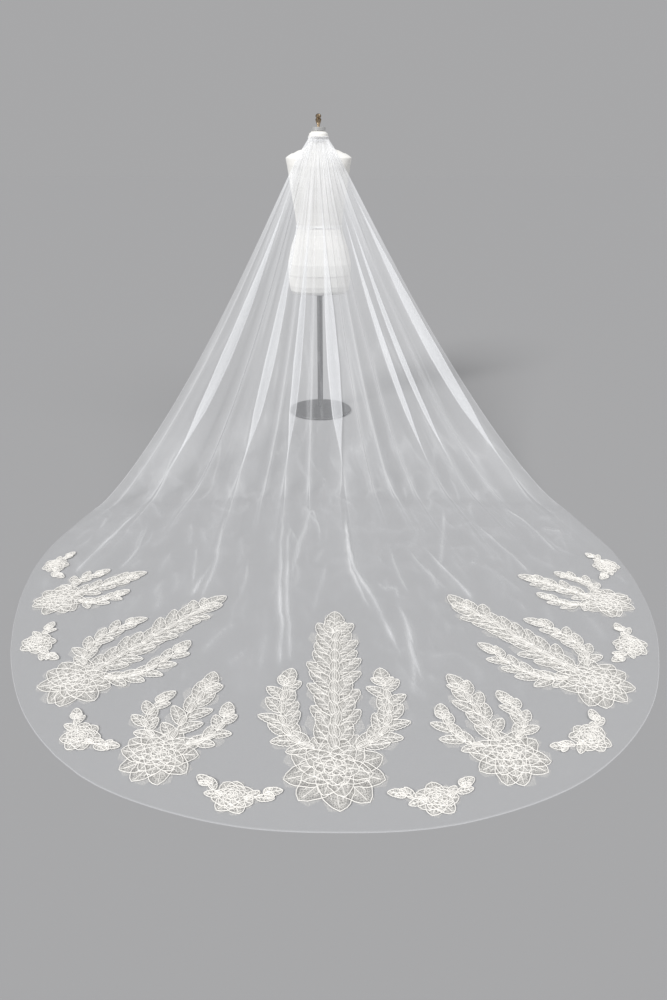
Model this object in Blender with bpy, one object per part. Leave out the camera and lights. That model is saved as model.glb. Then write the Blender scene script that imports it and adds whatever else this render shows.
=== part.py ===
"""Cathedral veil gathered on a comb at the back of the neck of a limbless dress form on a stand.

Metres. The origin is the centre of the stand's underside on the floor, +Z is up, the form faces
+Y and the veil's train runs out towards -Y. The veil is one sheet: it hangs from a gathered
heading, leaves the form at the shoulder blades, comes down as a tent and lies on the floor.
"""

import math

import bpy
import numpy as np
from mathutils import Vector
from mathutils.geometry import delaunay_2d_cdt

GAP = 0.0003
VEIL_WALL = 0.0013
VEIL_OFF_FORM = 0.0055
LACE_EDGE = 0.0010
LACE_RIB = 0.0016
FLAT_ROUND_LACE = (0.10, 0.30)
TAPE_WALL = 0.0012
HEADING_WALL = 0.0014
HEADING_REACH = (0.0033, 0.0056)
STEPS_AROUND_FORM = 32
FORM_POWER = 2.3

FORM_PROBES = (-0.016, -0.008, 0.0, 0.008)

# Dress form: height, half width, depth to the back, depth to the front.
FORM_SECTIONS = (
    (0.700, 0.150, 0.096, 0.086),
    (0.712, 0.160, 0.109, 0.094),
    (0.740, 0.168, 0.119, 0.100),
    (0.800, 0.173, 0.128, 0.102),
    (0.865, 0.174, 0.130, 0.100),
    (0.950, 0.155, 0.115, 0.098),
    (1.010, 0.133, 0.096, 0.092),
    (1.040, 0.125, 0.089, 0.090),
    (1.070, 0.1245, 0.088, 0.091),
    (1.130, 0.132, 0.092, 0.098),
    (1.190, 0.1425, 0.100, 0.112),
    (1.250, 0.152, 0.105, 0.125),
    (1.300, 0.159, 0.107, 0.118),
    (1.360, 0.168, 0.104, 0.095),
    (1.400, 0.176, 0.090, 0.062),
    (1.418, 0.140, 0.080, 0.057),
    (1.434, 0.098, 0.070, 0.054),
    (1.445, 0.072, 0.062, 0.053),
    (1.455, 0.060, 0.057, 0.053),
    (1.464, 0.0535, 0.0535, 0.053),
    (1.500, 0.053, 0.053, 0.053),
    (1.516, 0.047, 0.047, 0.047),
    (1.523, 0.035, 0.035, 0.035),
)
ARMHOLE_TOP = (0.176, 1.405)
ARMHOLE_FOOT = (0.1555, 1.270)

# Stand, collar and neck fittings: height, radius, from the axis out and back to the axis.
BASE_PROFILE = ((0.0, 0.0), (0.0, 0.180), (0.008, 0.185), (0.014, 0.180), (0.026, 0.030), (0.026, 0.0))
POLE_PROFILE = ((0.0263, 0.0), (0.0263, 0.016), (0.684, 0.016), (0.684, 0.0))
COLLAR_PROFILE = (
    (0.6843, 0.0), (0.6843, 0.030), (0.690, 0.045), (0.6997, 0.045), (0.6997, 0.0),
)
DISC_PROFILE = (
    (1.5233, 0.0), (1.5233, 0.030), (1.526, 0.037), (1.542, 0.037), (1.544, 0.034), (1.544, 0.0),
)
FINIAL_PROFILE = (
    (1.5443, 0.0), (1.5443, 0.008), (1.549, 0.0065), (1.556, 0.0085), (1.566, 0.0125),
    (1.576, 0.0155), (1.581, 0.0150), (1.584, 0.0110), (1.587, 0.0110), (1.591, 0.0145),
    (1.597, 0.0150), (1.603, 0.0105), (1.606, 0.0040), (1.606, 0.0),
)

# Veil above the form: height, half width, depth at the centre, depth at the edge.
NECK_ROWS = (
    (1.493, 0.050, 0.0585, 0.030),
    (1.465, 0.068, 0.0670, 0.030),
    (1.432, 0.092, 0.0800, 0.032),
    (1.395, 0.114, 0.0960, 0.045),
    (1.355, 0.136, 0.1120, 0.055),
)
RELEASE = (1.280, 1.315, 0.157, 0.114, 0.052)
TENT_SHARES = (0.0, 0.09, 0.20, 0.34, 0.50, 0.66, 0.78, 0.87, 0.94, 1.0)
TENT_CURVE = (1.45, 1.30)
CONTACT = ((-0.985, -1.35), (0.0, -1.27), (1.085, -1.35))
FLOOR_SHARES = (0.10, 0.25, 0.43, 0.62, 0.81, 1.0)

# Hem on the floor seen from above, from the left side edge round the train to the right one.
HEM = (
    (-1.01, -1.43), (-1.07, -1.68), (-1.08, -1.92), (-1.04, -2.20), (-0.95, -2.49), (-0.80, -2.76),
    (-0.57, -2.98), (-0.25, -3.11), (0.05, -3.145), (0.37, -3.12), (0.71, -2.98), (0.97, -2.72),
    (1.12, -2.39), (1.18, -2.08), (1.18, -1.77), (1.11, -1.45),
)
HEM_STEPS = 6
# Where a line down the veil meets the hem: its place across the veil, the hem's share.
HEM_MEETS = (
    (0.0, 0.0), (0.05, 0.12), (0.10, 0.21), (0.19, 0.30), (0.28, 0.385), (0.387, 0.445),
    (0.53, 0.53), (0.60, 0.58), (0.70, 0.655), (0.773, 0.705), (0.828, 0.75), (0.90, 0.81),
    (0.95, 0.87), (1.0, 1.0),
)

# Main folds: place across the veil, half width there, depth, run on the floor, flap side.
FOLDS = (
    (0.028, 0.0060, 0.008, 0.25, 1),
    (0.096, 0.0200, 0.017, 0.75, 1),
    (0.190, 0.0090, 0.009, 0.45, -1),
    (0.275, 0.0190, 0.019, 1.10, 1),
    (0.346, 0.0060, 0.008, 0.40, 1),
    (0.390, 0.0160, 0.015, 0.70, 1),
    (0.450, 0.0080, 0.008, 0.50, 1),
    (0.540, 0.0240, 0.021, 0.95, -1),
    (0.606, 0.0075, 0.008, 0.45, -1),
    (0.644, 0.0090, 0.009, 0.40, 1),
    (0.700, 0.0090, 0.010, 0.75, -1),
    (0.770, 0.0120, 0.013, 0.90, -1),
    (0.828, 0.0110, 0.012, 0.70, -1),
    (0.880, 0.0075, 0.008, 0.40, -1),
    (0.960, 0.0220, 0.019, 0.60, -1),
)
# One fold's section flat, upright and pressed over: places in half widths, shares of its depth.
FOLD_STATES = (
    ((-1.5, -0.68, 0.14, 0.96, 1.78, 2.6), (0.0, 0.10, 0.45, 0.90, 1.0, 0.25)),
    ((-1.5, -0.30, 0.10, 0.14, 0.55, 2.6), (0.0, 0.05, 0.25, 0.80, 1.0, 0.25)),
    ((-1.5, 1.00, 1.10, -1.10, -1.00, 2.6), (0.0, 0.0, 0.30, 0.55, 1.0, 0.30)),
)
# A fold this deep is pressed over itself; its layers then stand at least this far out in all.
PRESSED_DEPTH = 0.0115
LEAST_PRESSED = 0.0075
PLAIN_COLUMNS = (0.0, 0.010, 0.055, 0.158, 0.222, 0.332, 0.5785, 0.728, 1.0)
# How far a fold is turned over, row by row from the heading, and how far the gathers stand out.
NECK_TURN = (0.0, 0.0, 0.0, 0.08, 0.20)
NECK_EVEN = (1.0, 1.0, 0.9, 0.6, 0.3)
NECK_GATHER = (0.0009, 0.0016, 0.0023, 0.0022, 0.0014)
TENT_TURN = (0.35, 0.60, 0.80, 1.0, 1.0, 0.88, 0.60, 0.48, 0.22, 0.08)
TENT_PINCH = (1.0, 1.0, 1.0, 1.0, 1.0, 0.90, 0.72, 0.62, 0.75, 0.90)
TENT_GATHER = (0.0006, 0.0, 0.0, 0.0, 0.0, 0.0, 0.0, 0.0, 0.0, 0.0)

# Lace border: node, steps round the hem from its middle, kind, size. All but the first are mirrored.
LACE_STEP = 0.275
LACE_BORDER = (
    ("centre", 0, "tall", 1.10),
    ("inner_sprig", 1, "sprig", 1.0),
    ("inner", 2, "short", 0.94),
    ("middle_sprig", 3, "sprig", 1.0),
    ("middle", 4, "tall", 0.92),
    ("outer_sprig", 5, "sprig", 1.0),
    ("outer", 6, "short", 0.84),
    ("end_sprig", 7, "sprig", 0.90),
)
# Large sprays lean this far from straight in off the hem towards a spot up the train.
LACE_FACE = (0.05, -0.60)
LACE_LEAN = 0.55
# Rosette of each kind: way in from the hem, petals, petal length, petal width.
ROSETTES = {
    "tall": (0.185, 10, 0.130, 0.092),
    "short": (0.170, 10, 0.118, 0.084),
    "sprig": (0.085, 7, 0.058, 0.056),
}
# A rosette's edge over one petal: place from the petal's middle in petals, share of its length.
ROSETTE_EDGE = ((-0.50, 0.76), (-0.20, 0.99), (0.20, 0.99))
# Fronds of each kind: foot, knee and tip across and up, pairs of leaves, leaf length, leaf width.
# A frond that starts off the middle line is mirrored.
FRONDS = {
    "tall": (
        (0.000, 0.060, 0.000, 0.280, 0.000, 0.560, 4, 0.098, 0.116),
        (0.050, 0.070, 0.165, 0.110, 0.135, 0.310, 2, 0.066, 0.086),
    ),
    "short": (
        (0.000, 0.060, 0.000, 0.180, 0.000, 0.300, 2, 0.078, 0.098),
        (0.050, 0.060, 0.130, 0.090, 0.112, 0.200, 1, 0.058, 0.080),
    ),
    "sprig": (
        (0.025, 0.000, 0.052, 0.008, 0.074, 0.026, 0, 0.040, 0.054),
    ),
}
# A frond's body along its spine and the leaves that stand out from it, as shares of a leaf.
BODY_HALF = 0.36
BODY_SWELL = (0.55, 1.0, 0.95, 0.45)
LEAF_TURNS = ((36, 1.0), (-39, 0.93))
LEAF_SHAPE = (1.18, 0.62)
# One petal, as shares of its length and of its half width, round from the foot.
PETAL = (
    (0.00, -0.20), (0.34, -0.86), (0.76, -0.90), (1.00, 0.06), (0.80, 0.84), (0.38, 0.84),
    (0.00, 0.20),
)
PETAL_RIBS = (0.30, 0.70)
COMB_ARC = 24.0
COMB_TEETH = 8
COMB_BAR = (1.4860, 1.4925, 0.0533, 0.0566)
COMB_BAR_STEPS = 12
COMB_TOOTH = ((1.4660, 0.0004), (1.4870, 0.0008))
COMB_TOOTH_DEPTH = (0.0536, 0.0550)
COMB_END = 2.0

# Materials: name, starts of the names of the pieces that take it, colour, roughness, metallic.
MATERIALS = (
    ("tulle", ("veil_tulle", "heading_band"), (0.80, 0.83, 0.90), 0.60, 0.0),
    ("lace", ("lace_",), (0.86, 0.84, 0.81), 0.70, 0.0),
    ("form_cover", ("form_torso",), (0.80, 0.78, 0.75), 0.85, 0.0),
    ("tape", ("waist_tape",), (0.90, 0.90, 0.90), 0.80, 0.0),
    ("steel", ("neck_disc",), (0.62, 0.62, 0.60), 0.30, 1.0),
    ("bronze", ("neck_finial",), (0.30, 0.22, 0.16), 0.35, 1.0),
    ("stand_paint", ("form_collar", "stand_"), (0.02, 0.02, 0.02), 0.45, 0.0),
    ("clear_plastic", ("comb",), (0.80, 0.78, 0.75), 0.30, 0.0),
)
SMOOTH_UP_TO = math.radians(40)


def clear_scene():
    for item in list(bpy.data.objects):
        bpy.data.objects.remove(item)


def add_solid(name, points, faces):
    mesh = bpy.data.meshes.new(name)
    mesh.from_pydata([tuple(map(float, point)) for point in points], [], faces)
    mesh.update()
    item = bpy.data.objects.new(name, mesh)
    bpy.context.scene.collection.objects.link(item)
    return item


def add_materials():
    """Gives each solid its material and shades its round faces smooth."""
    for title, starts, color, roughness, metallic in MATERIALS:
        material = bpy.data.materials.new(title)
        material.use_nodes = True
        shader = material.node_tree.nodes["Principled BSDF"]
        shader.inputs["Base Color"].default_value = (*color, 1.0)
        shader.inputs["Roughness"].default_value = roughness
        shader.inputs["Metallic"].default_value = metallic
        for item in bpy.data.objects:
            if item.name.startswith(starts):
                item.data.materials.append(material)
    for item in bpy.data.objects:
        item.data.shade_smooth()
        item.data.set_sharp_from_angle(angle=SMOOTH_UP_TO)


def column(table, place):
    return np.array([row[place] for row in table], dtype=float)


def form_section(height):
    """Half width, back depth and front depth of the dress form at a height."""
    heights = column(FORM_SECTIONS, 0)
    return tuple(np.interp(height, heights, column(FORM_SECTIONS, k)) for k in (1, 2, 3))


def form_power(height):
    return float(np.interp(height, (1.40, 1.46), (FORM_POWER, 2.0)))


def armhole_limit(height):
    """Half width of the slanted flat face that closes the armhole."""
    (top_x, top_z), (foot_x, foot_z) = ARMHOLE_TOP, ARMHOLE_FOOT
    share = (height - foot_z) / (top_z - foot_z)
    return foot_x + (top_x - foot_x) * share if 0.0 <= share <= 1.0 else 9.0


def form_ring(height, grow=0.0):
    half, back, front = form_section(height)
    power = form_power(height)
    limit = armhole_limit(height)
    ring = []
    for step in range(STEPS_AROUND_FORM):
        turn = 2 * math.pi * step / STEPS_AROUND_FORM
        across, deep = math.sin(turn), -math.cos(turn)
        x = (half + grow) * math.copysign(abs(across) ** (2 / power), across)
        depth = (back if deep < 0 else front) + grow
        y = depth * math.copysign(abs(deep) ** (2 / power), deep)
        x = max(-limit, min(limit, x))
        ring.append((x, y, height))
    return ring


def loft(name, rings):
    """One closed body through rings of equal count, counter-clockwise from above, bottom first."""
    count = len(rings[0])
    points = [point for ring in rings for point in ring]
    faces = [tuple(range(count))[::-1]]
    for low in range(len(rings) - 1):
        for k in range(count):
            after = (k + 1) % count
            faces.append((
                low * count + k, low * count + after,
                (low + 1) * count + after, (low + 1) * count + k,
            ))
    top = (len(rings) - 1) * count
    faces.append(tuple(range(top, top + count)))
    return add_solid(name, points, faces)


def lathe(name, profile, steps):
    rings = []
    for height, radius in profile[1:-1]:
        rings.append([
            (radius * math.cos(2 * math.pi * k / steps), radius * math.sin(2 * math.pi * k / steps), height)
            for k in range(steps)
        ])
    return loft(name, rings)


def ring_wall(name, low, high, wall):
    """A closed band round the form between two heights, standing GAP outside it."""
    loops = [
        form_ring(low, GAP), form_ring(low, GAP + wall),
        form_ring(high, GAP + wall), form_ring(high, GAP),
    ]
    count = STEPS_AROUND_FORM
    points = [point for loop in loops for point in loop]
    faces = []
    for k in range(count):
        after = (k + 1) % count
        for lower, upper in ((0, 1), (1, 2), (2, 3), (3, 0)):
            faces.append((
                lower * count + k, lower * count + after,
                upper * count + after, upper * count + k,
            ))
    return add_solid(name, points, faces)


def form_back(x, height):
    """Depth of the form's back behind a point, or zero beside it."""
    half, back, _ = form_section(height)
    power = form_power(height)
    share = 1.0 - min(1.0, abs(x) / half) ** power
    return back * share ** (1 / power)


def column_table():
    """Each column's place on the flat sheet, its fold and its point in the fold's section."""
    rows = [(place, -1, 0) for place in PLAIN_COLUMNS]
    for number, (place, half, _, _, side) in enumerate(FOLDS):
        for point, across in enumerate(FOLD_STATES[0][0]):
            rows.append((place + side * across * half, number, point))
    rows.sort(key=lambda row: row[0])
    return rows


def fold_point(number, point, turn, pinch):
    """Shift across the veil and share of the depth of a point in a fold turned over this far."""
    _, half, _, _, side = FOLDS[number]
    first = 0 if turn < 0.5 else 1
    share = (turn - 0.5 * first) / 0.5
    (flat, _), (before, depth_before), (after, depth_after) = (
        FOLD_STATES[0], FOLD_STATES[first], FOLD_STATES[first + 1])
    across = before[point] * (1 - share) + after[point] * share
    depth = depth_before[point] * (1 - share) + depth_after[point] * share
    if 0 < point < 5:
        across *= pinch
    return side * (across - flat[point]) * half, depth


def smooth_line(points, steps):
    """A smooth curve through a few points, with even steps between each two."""
    points = np.array(points, dtype=float)
    ends = np.concatenate([[2 * points[0] - points[1]], points, [2 * points[-1] - points[-2]]])
    line = []
    for before, start, end, after in zip(ends, ends[1:], ends[2:], ends[3:]):
        for k in range(steps):
            t = k / steps
            line.append(
                start + (end - before) * t / 2
                + (2 * before - 5 * start + 4 * end - after) * t ** 2 / 2
                + (3 * (start - end) + after - before) * t ** 3 / 2)
    line.append(points[-1])
    return np.array(line)


def hem_run():
    """The hem's curve, and how far round it each point lies."""
    outline = smooth_line(HEM, HEM_STEPS)
    return outline, np.concatenate([[0.0], np.cumsum(np.hypot(*np.diff(outline, axis=0).T))])


def hem_point(share):
    outline, run = hem_run()
    return np.array([np.interp(share * run[-1], run, outline[:, k]) for k in (0, 1)])


def hem_frame(place):
    """A point of the hem this far round from its middle, and the way straight in from it."""
    share = 0.5 + place / hem_run()[1][-1]
    ahead = hem_point(share + 0.004) - hem_point(share - 0.004)
    ahead = ahead / np.linalg.norm(ahead)
    return hem_point(share), np.array([-ahead[1], ahead[0]])


def contact_point(place):
    left, centre, right = (np.array(point) for point in CONTACT)
    x = left[0] + (right[0] - left[0]) * place
    bow = (2 * place - 1) ** 2
    y = centre[1] + ((left[1] + right[1]) / 2 - centre[1]) * bow
    return np.array([x, y])


def over_form(place, half, centre_depth, edge_depth, height):
    """A point of the veil resting on the form's back at a height."""
    across = 2 * place - 1
    x = half * across
    depth = edge_depth + (centre_depth - edge_depth) * (1 - abs(across) ** 2.2)
    behind = max(form_back(x, height + step) for step in FORM_PROBES)
    return x, -max(depth, behind + VEIL_OFF_FORM)


def release_point(place):
    centre_height, edge_height, half, centre_depth, edge_depth = RELEASE
    bow = (2 * place - 1) ** 2
    height = centre_height + (edge_height - centre_height) * bow
    x, y = over_form(place, half, centre_depth, edge_depth, height)
    return np.array([x, y, height])


def tent_point(place, share):
    start = release_point(place)
    land = contact_point(place)
    bow = (2 * place - 1) ** 2
    curve = TENT_CURVE[0] + (TENT_CURVE[1] - TENT_CURVE[0]) * bow
    plan = start[:2] * (1 - share) + land * share
    return np.array([plan[0], plan[1], start[2] * (1 - share) ** curve])


def floor_point(place, share):
    land = contact_point(place)
    meets = np.interp(place, column(HEM_MEETS, 0), column(HEM_MEETS, 1))
    plan = land * (1 - share) + hem_point(meets) * share
    return np.array([plan[0], plan[1], 0.0])


def veil_rows():
    """For each row from heading to hem: its line, turn, pinch, gather, part and share."""
    rows = []
    for (height, half, centre, edge), turn, gather in zip(NECK_ROWS, NECK_TURN, NECK_GATHER):
        def at(place, height=height, half=half, centre=centre, edge=edge):
            x, y = over_form(place, half, centre, edge, height)
            return np.array([x, y, height])
        rows.append((at, turn, 1.0, gather, "neck", 0.0))
    for share, turn, pinch, gather in zip(TENT_SHARES, TENT_TURN, TENT_PINCH, TENT_GATHER):
        def on_tent(place, share=share):
            return tent_point(place, share)
        rows.append((on_tent, turn, pinch, gather, "tent", share))
    for share in FLOOR_SHARES:
        def on_floor(place, share=share):
            return floor_point(place, share)
        rows.append((on_floor, 0.0, 1.0, 0.0, "floor", share))
    return rows


def under_lace(x, y, boxes):
    """Whether the sheet stays flat here: under a spray, and one row and column clear of it."""
    aside, behind = FLAT_ROUND_LACE
    return any(
        x0 - aside < x < x1 + aside and y0 - aside < y < y1 + behind
        for x0, x1, y0, y1 in boxes
    )


def row_normals(line, next_line, last_line):
    across = np.gradient(line, axis=0)
    down = next_line - last_line
    normal = np.cross(across, down)
    return -normal / np.linalg.norm(normal, axis=1, keepdims=True)


def veil_middle(boxes):
    """Points of the veil's middle surface, rows by columns."""
    columns = column_table()
    rows = veil_rows()
    flat = np.array([[at(c[0]) for c in columns] for at, *_ in rows])
    middle = np.zeros_like(flat)
    contact = [contact_point(c[0]) for c in columns]
    for i, (at, turn, pinch, gather, part, share) in enumerate(rows):
        line = flat[i]
        before = flat[max(i - 1, 0)]
        after = flat[min(i + 1, len(rows) - 1)]
        normals = row_normals(line, after, before)
        width = np.linalg.norm(np.diff(line, axis=0), axis=1).sum()
        for j, (place, number, point) in enumerate(columns):
            lift = 0.0
            shift = 0.0
            here = turn
            spread = place
            if part == "neck":
                even = NECK_EVEN[i]
                spread = place * (1 - even) + even * j / (len(columns) - 1)
            if number >= 0:
                _, _, depth, run, _ = FOLDS[number]
                if depth < PRESSED_DEPTH:
                    here = min(0.45, here)
                full = depth * min(1.0, max(0.42, width))
                if part == "neck":
                    full *= turn / 0.35
                if part == "tent":
                    full *= 1.0 - 0.4 * max(0.0, share - 0.75) / 0.25
                    if here > 0.3:
                        full = max(full, LEAST_PRESSED)
                if part == "floor":
                    gone = np.linalg.norm(line[j][:2] - contact[j]) / run
                    fade = max(0.0, 1.0 - gone)
                    here = 0.10 * fade
                    full = depth * 0.6 * fade
                shift, depth_share = fold_point(number, point, here, pinch)
                lift = full * depth_share
            spot = at(spread + shift)
            if part == "floor" and under_lace(spot[0], spot[1], boxes):
                spot = at(place)
                lift = 0.0
            wave = (0.0, 1.0, 0.0, -1.0)[j % 4] * (0.85 + 0.3 * ((j * 7) % 5) / 5)
            edge_fade = min(1.0, 12 * min(place, 1 - place))
            lift += gather * wave * edge_fade
            middle[i, j] = spot + normals[j] * lift
    return middle


def shell_normals(grid):
    rows, columns, _ = grid.shape
    total = np.zeros_like(grid)
    for i in range(rows - 1):
        for j in range(columns - 1):
            a, b, c, d = grid[i, j], grid[i + 1, j], grid[i + 1, j + 1], grid[i, j + 1]
            for first, second, third, spots in (
                (a, b, c, ((i, j), (i + 1, j), (i + 1, j + 1))),
                (a, c, d, ((i, j), (i + 1, j + 1), (i, j + 1))),
            ):
                normal = np.cross(second - first, third - first)
                size = np.linalg.norm(normal)
                if size > 0:
                    for spot in spots:
                        total[spot] += normal / size
    return total / np.linalg.norm(total, axis=2, keepdims=True)


def sheet_solid(name, grid, wall):
    """A closed wall of even thickness about a grid of middle points."""
    normals = shell_normals(grid)
    outer = grid + normals * wall / 2
    inner = grid - normals * wall / 2
    inner[..., 2] = np.maximum(inner[..., 2], 0.0)
    outer[..., 2] = np.maximum(outer[..., 2], inner[..., 2])
    rows, columns, _ = grid.shape
    points = np.concatenate([outer.reshape(-1, 3), inner.reshape(-1, 3)])
    half = rows * columns
    faces = []
    for i in range(rows - 1):
        for j in range(columns - 1):
            a, b = i * columns + j, (i + 1) * columns + j
            for first, second, third in ((a, b, b + 1), (a, b + 1, a + 1)):
                faces.append((first, second, third))
                faces.append((half + third, half + second, half + first))
    rim = [(0, j) for j in range(columns)]
    rim += [(i, columns - 1) for i in range(1, rows)]
    rim += [(rows - 1, j) for j in range(columns - 2, -1, -1)]
    rim += [(i, 0) for i in range(rows - 2, 0, -1)]
    spots = [i * columns + j for i, j in rim]
    for here, after in zip(spots, spots[1:] + spots[:1]):
        faces.append((here, after, half + after))
        faces.append((here, half + after, half + here))
    return add_solid(name, points, faces)


def petal_outline(x, y, bearing, length, width):
    """Outline and rib points of one petal whose foot is at x, y."""
    turn = math.radians(bearing)
    along = np.array([math.cos(turn), math.sin(turn)])
    side = np.array([-along[1], along[0]])
    foot = np.array([x, y])
    outline = [foot + along * a * length + side * b * width / 2 for a, b in PETAL]
    ribs = [foot + along * a * length for a in PETAL_RIBS]
    return outline, ribs, (foot, along, side, length, width)


def lace_tables():
    """Every spray's rosette and fronds: the same kinds on each side of the hem's middle."""
    rosettes, fronds = [], []
    for label, steps, kind, size in LACE_BORDER:
        for side, word in ((-1, "left_"), (1, "right_")) if steps else ((1, ""),):
            name = "lace_" + word + label
            inset, petals, length, width = ROSETTES[kind]
            edge, inward = hem_frame(side * steps * LACE_STEP)
            foot = edge + inward * inset * size
            lean = 0.0 if kind == "sprig" else LACE_LEAN
            towards = np.array(LACE_FACE) - foot
            up = inward * (1 - lean) + towards / np.linalg.norm(towards) * lean
            up = up / np.linalg.norm(up)
            across = np.array([up[1], -up[0]])
            bearing = math.degrees(math.atan2(up[1], up[0]))
            rosettes.append((name, foot, bearing, petals, length * size, width * size))
            for x0, y0, x1, y1, x2, y2, pairs, leaf, wide in FRONDS[kind]:
                for hand in (-1, 1) if x0 else (1,):
                    spots = [foot + (across * hand * x + up * y) * size
                             for x, y in ((x0, y0), (x1, y1), (x2, y2))]
                    fronds.append((name, *spots, pairs, leaf * size, wide * size))
    return rosettes, fronds


def rosette_outline(foot, bearing, petals, length):
    outline = []
    for k in range(petals):
        for place, share in ROSETTE_EDGE:
            turn = math.radians(bearing + 360 * (k + place) / petals)
            outline.append(foot + np.array([math.cos(turn), math.sin(turn)]) * length * share)
    return outline


def frond_spine(start, knee, tip, share):
    """A point of a frond's spine and the bearing there."""
    point = start * (1 - share) ** 2 + knee * 2 * share * (1 - share) + tip * share * share
    ahead = 2 * (1 - share) * (knee - start) + 2 * share * (tip - knee)
    return point, math.degrees(math.atan2(ahead[1], ahead[0]))


def frond_body(start, knee, tip, width):
    left, right = [], []
    for k, swell in enumerate(BODY_SWELL):
        point, bearing = frond_spine(start, knee, tip, k / (len(BODY_SWELL) - 1))
        turn = math.radians(bearing)
        side = np.array([-math.sin(turn), math.cos(turn)]) * BODY_HALF * width * swell
        left.append(point - side)
        right.append(point + side)
    return left + right[::-1]


def spray_shapes(spray):
    """A spray's petals, each with its outline, ribs and frame, and its other outlines."""
    rosettes, fronds = lace_tables()
    petals, bodies = [], []
    for name, foot, bearing, count, length, width in rosettes:
        if name != spray:
            continue
        bodies.append(rosette_outline(foot, bearing, count, length))
        for k in range(count):
            _, ribs, place = petal_outline(foot[0], foot[1], bearing + 360 * k / count, length, width)
            petals.append((None, ribs, place))
    for name, start, knee, tip, pairs, length, width in fronds:
        if name != spray:
            continue
        bodies.append(frond_body(start, knee, tip, width))
        leaf = (length * LEAF_SHAPE[0], width * LEAF_SHAPE[1])
        for k in range(pairs):
            point, bearing = frond_spine(start, knee, tip, (k + 0.35) / pairs)
            for turn, size in LEAF_TURNS:
                petals.append(petal_outline(point[0], point[1], bearing + turn, leaf[0] * size, leaf[1]))
        _, bearing = frond_spine(start, knee, tip, 1.0)
        petals.append(petal_outline(tip[0], tip[1], bearing, *leaf))
    outlines = [outline for outline, _, _ in petals if outline is not None] + bodies
    return petals, outlines


def inside(outline, spot):
    odd = False
    x, y = spot
    for (x0, y0), (x1, y1) in zip(outline, outline[1:] + outline[:1]):
        if (y0 > y) != (y1 > y) and x < x0 + (y - y0) * (x1 - x0) / (y1 - y0):
            odd = not odd
    return odd


def rib_height(petals, spot):
    """How far the lace stands above its own edge at a spot: highest on a petal's midline."""
    best = 0.0
    for outline, _, (foot, along, side, length, width) in petals:
        a = float(np.dot(spot - foot, along)) / length
        b = abs(float(np.dot(spot - foot, side))) / (width / 2)
        if 0.02 < a < 0.98 and b < 1.0:
            best = max(best, (1 - b) * math.sin(math.pi * a) ** 0.5)
    return best


def spray_solid(spray, floor_top):
    """One lace spray: rosette and fronds joined in plan, open between them, ribs raised."""
    petals, outlines = spray_shapes(spray)
    spots, edges = [], []
    for outline in outlines:
        start = len(spots)
        spots += [Vector((round(float(p[0]), 4), round(float(p[1]), 4))) for p in outline]
        count = len(outline)
        edges += [(start + k, start + (k + 1) % count) for k in range(count)]
    for _, ribs, _ in petals:
        start = len(spots)
        spots += [Vector((round(float(p[0]), 4), round(float(p[1]), 4))) for p in ribs]
        edges.append((start, start + 1))
    flat, _, triangles, *_ = delaunay_2d_cdt(spots, edges, [], 0, 0.0012)
    flat = [np.array(p) for p in flat]
    loops = [[tuple(map(float, p)) for p in outline] for outline in outlines]
    kept = set()
    for number, triangle in enumerate(triangles):
        centre = sum(flat[k] for k in triangle) / 3
        if any(inside(loop, centre) for loop in loops):
            kept.add(number)
    kept = whole_piece(triangles, close_pinches(triangles, kept))
    used = sorted({k for number in kept for k in triangles[number]})
    index = {k: n for n, k in enumerate(used)}
    count = len(used)
    points = []
    for k in used:
        top = floor_top + GAP + LACE_EDGE + LACE_RIB * rib_height(petals, flat[k])
        points.append((flat[k][0], flat[k][1], top))
    for k in used:
        points.append((flat[k][0], flat[k][1], floor_top + GAP))
    faces, border = [], {}
    for number in kept:
        a, b, c = (index[k] for k in triangles[number])
        (ax, ay), (bx, by), (cx, cy) = (flat[used[k]] for k in (a, b, c))
        if (bx - ax) * (cy - ay) - (by - ay) * (cx - ax) < 0:
            b, c = c, b
        faces.append((a, b, c))
        faces.append((count + c, count + b, count + a))
        for p, q in ((a, b), (b, c), (c, a)):
            if (q, p) in border:
                del border[(q, p)]
            else:
                border[(p, q)] = True
    for p, q in border:
        faces.append((q, p, count + p))
        faces.append((q, count + p, count + q))
    return add_solid(spray, points, faces)


def border_edges(triangles, kept):
    seen = {}
    for number in kept:
        triangle = triangles[number]
        for k in range(3):
            edge = tuple(sorted((triangle[k], triangle[(k + 1) % 3])))
            seen[edge] = seen.get(edge, 0) + 1
    return [edge for edge, times in seen.items() if times == 1]


def close_pinches(triangles, kept):
    """Fills round any point where two outlines touch, so that the spray stays one clean body."""
    kept = set(kept)
    for _ in range(12):
        meets = {}
        for edge in border_edges(triangles, kept):
            for k in edge:
                meets[k] = meets.get(k, 0) + 1
        pinched = {k for k, times in meets.items() if times > 2}
        if not pinched:
            break
        for number, triangle in enumerate(triangles):
            if pinched & set(triangle):
                kept.add(number)
    return kept


def whole_piece(triangles, kept):
    """The largest run of triangles that share edges."""
    by_edge = {}
    for number in kept:
        triangle = triangles[number]
        for k in range(3):
            edge = tuple(sorted((triangle[k], triangle[(k + 1) % 3])))
            by_edge.setdefault(edge, []).append(number)
    left, best = set(kept), set()
    while left:
        stack, piece = [left.pop()], set()
        while stack:
            number = stack.pop()
            piece.add(number)
            triangle = triangles[number]
            for k in range(3):
                edge = tuple(sorted((triangle[k], triangle[(k + 1) % 3])))
                for other in by_edge[edge]:
                    if other in left:
                        left.discard(other)
                        stack.append(other)
        if len(piece) > len(best):
            best = piece
    return best


def spray_names():
    return [row[0] for row in lace_tables()[0]]


def lace_boxes():
    boxes = []
    for name in spray_names():
        spots = np.array([spot for outline in spray_shapes(name)[1] for spot in outline])
        boxes.append((spots[:, 0].min(), spots[:, 0].max(), spots[:, 1].min(), spots[:, 1].max()))
    return boxes


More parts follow.
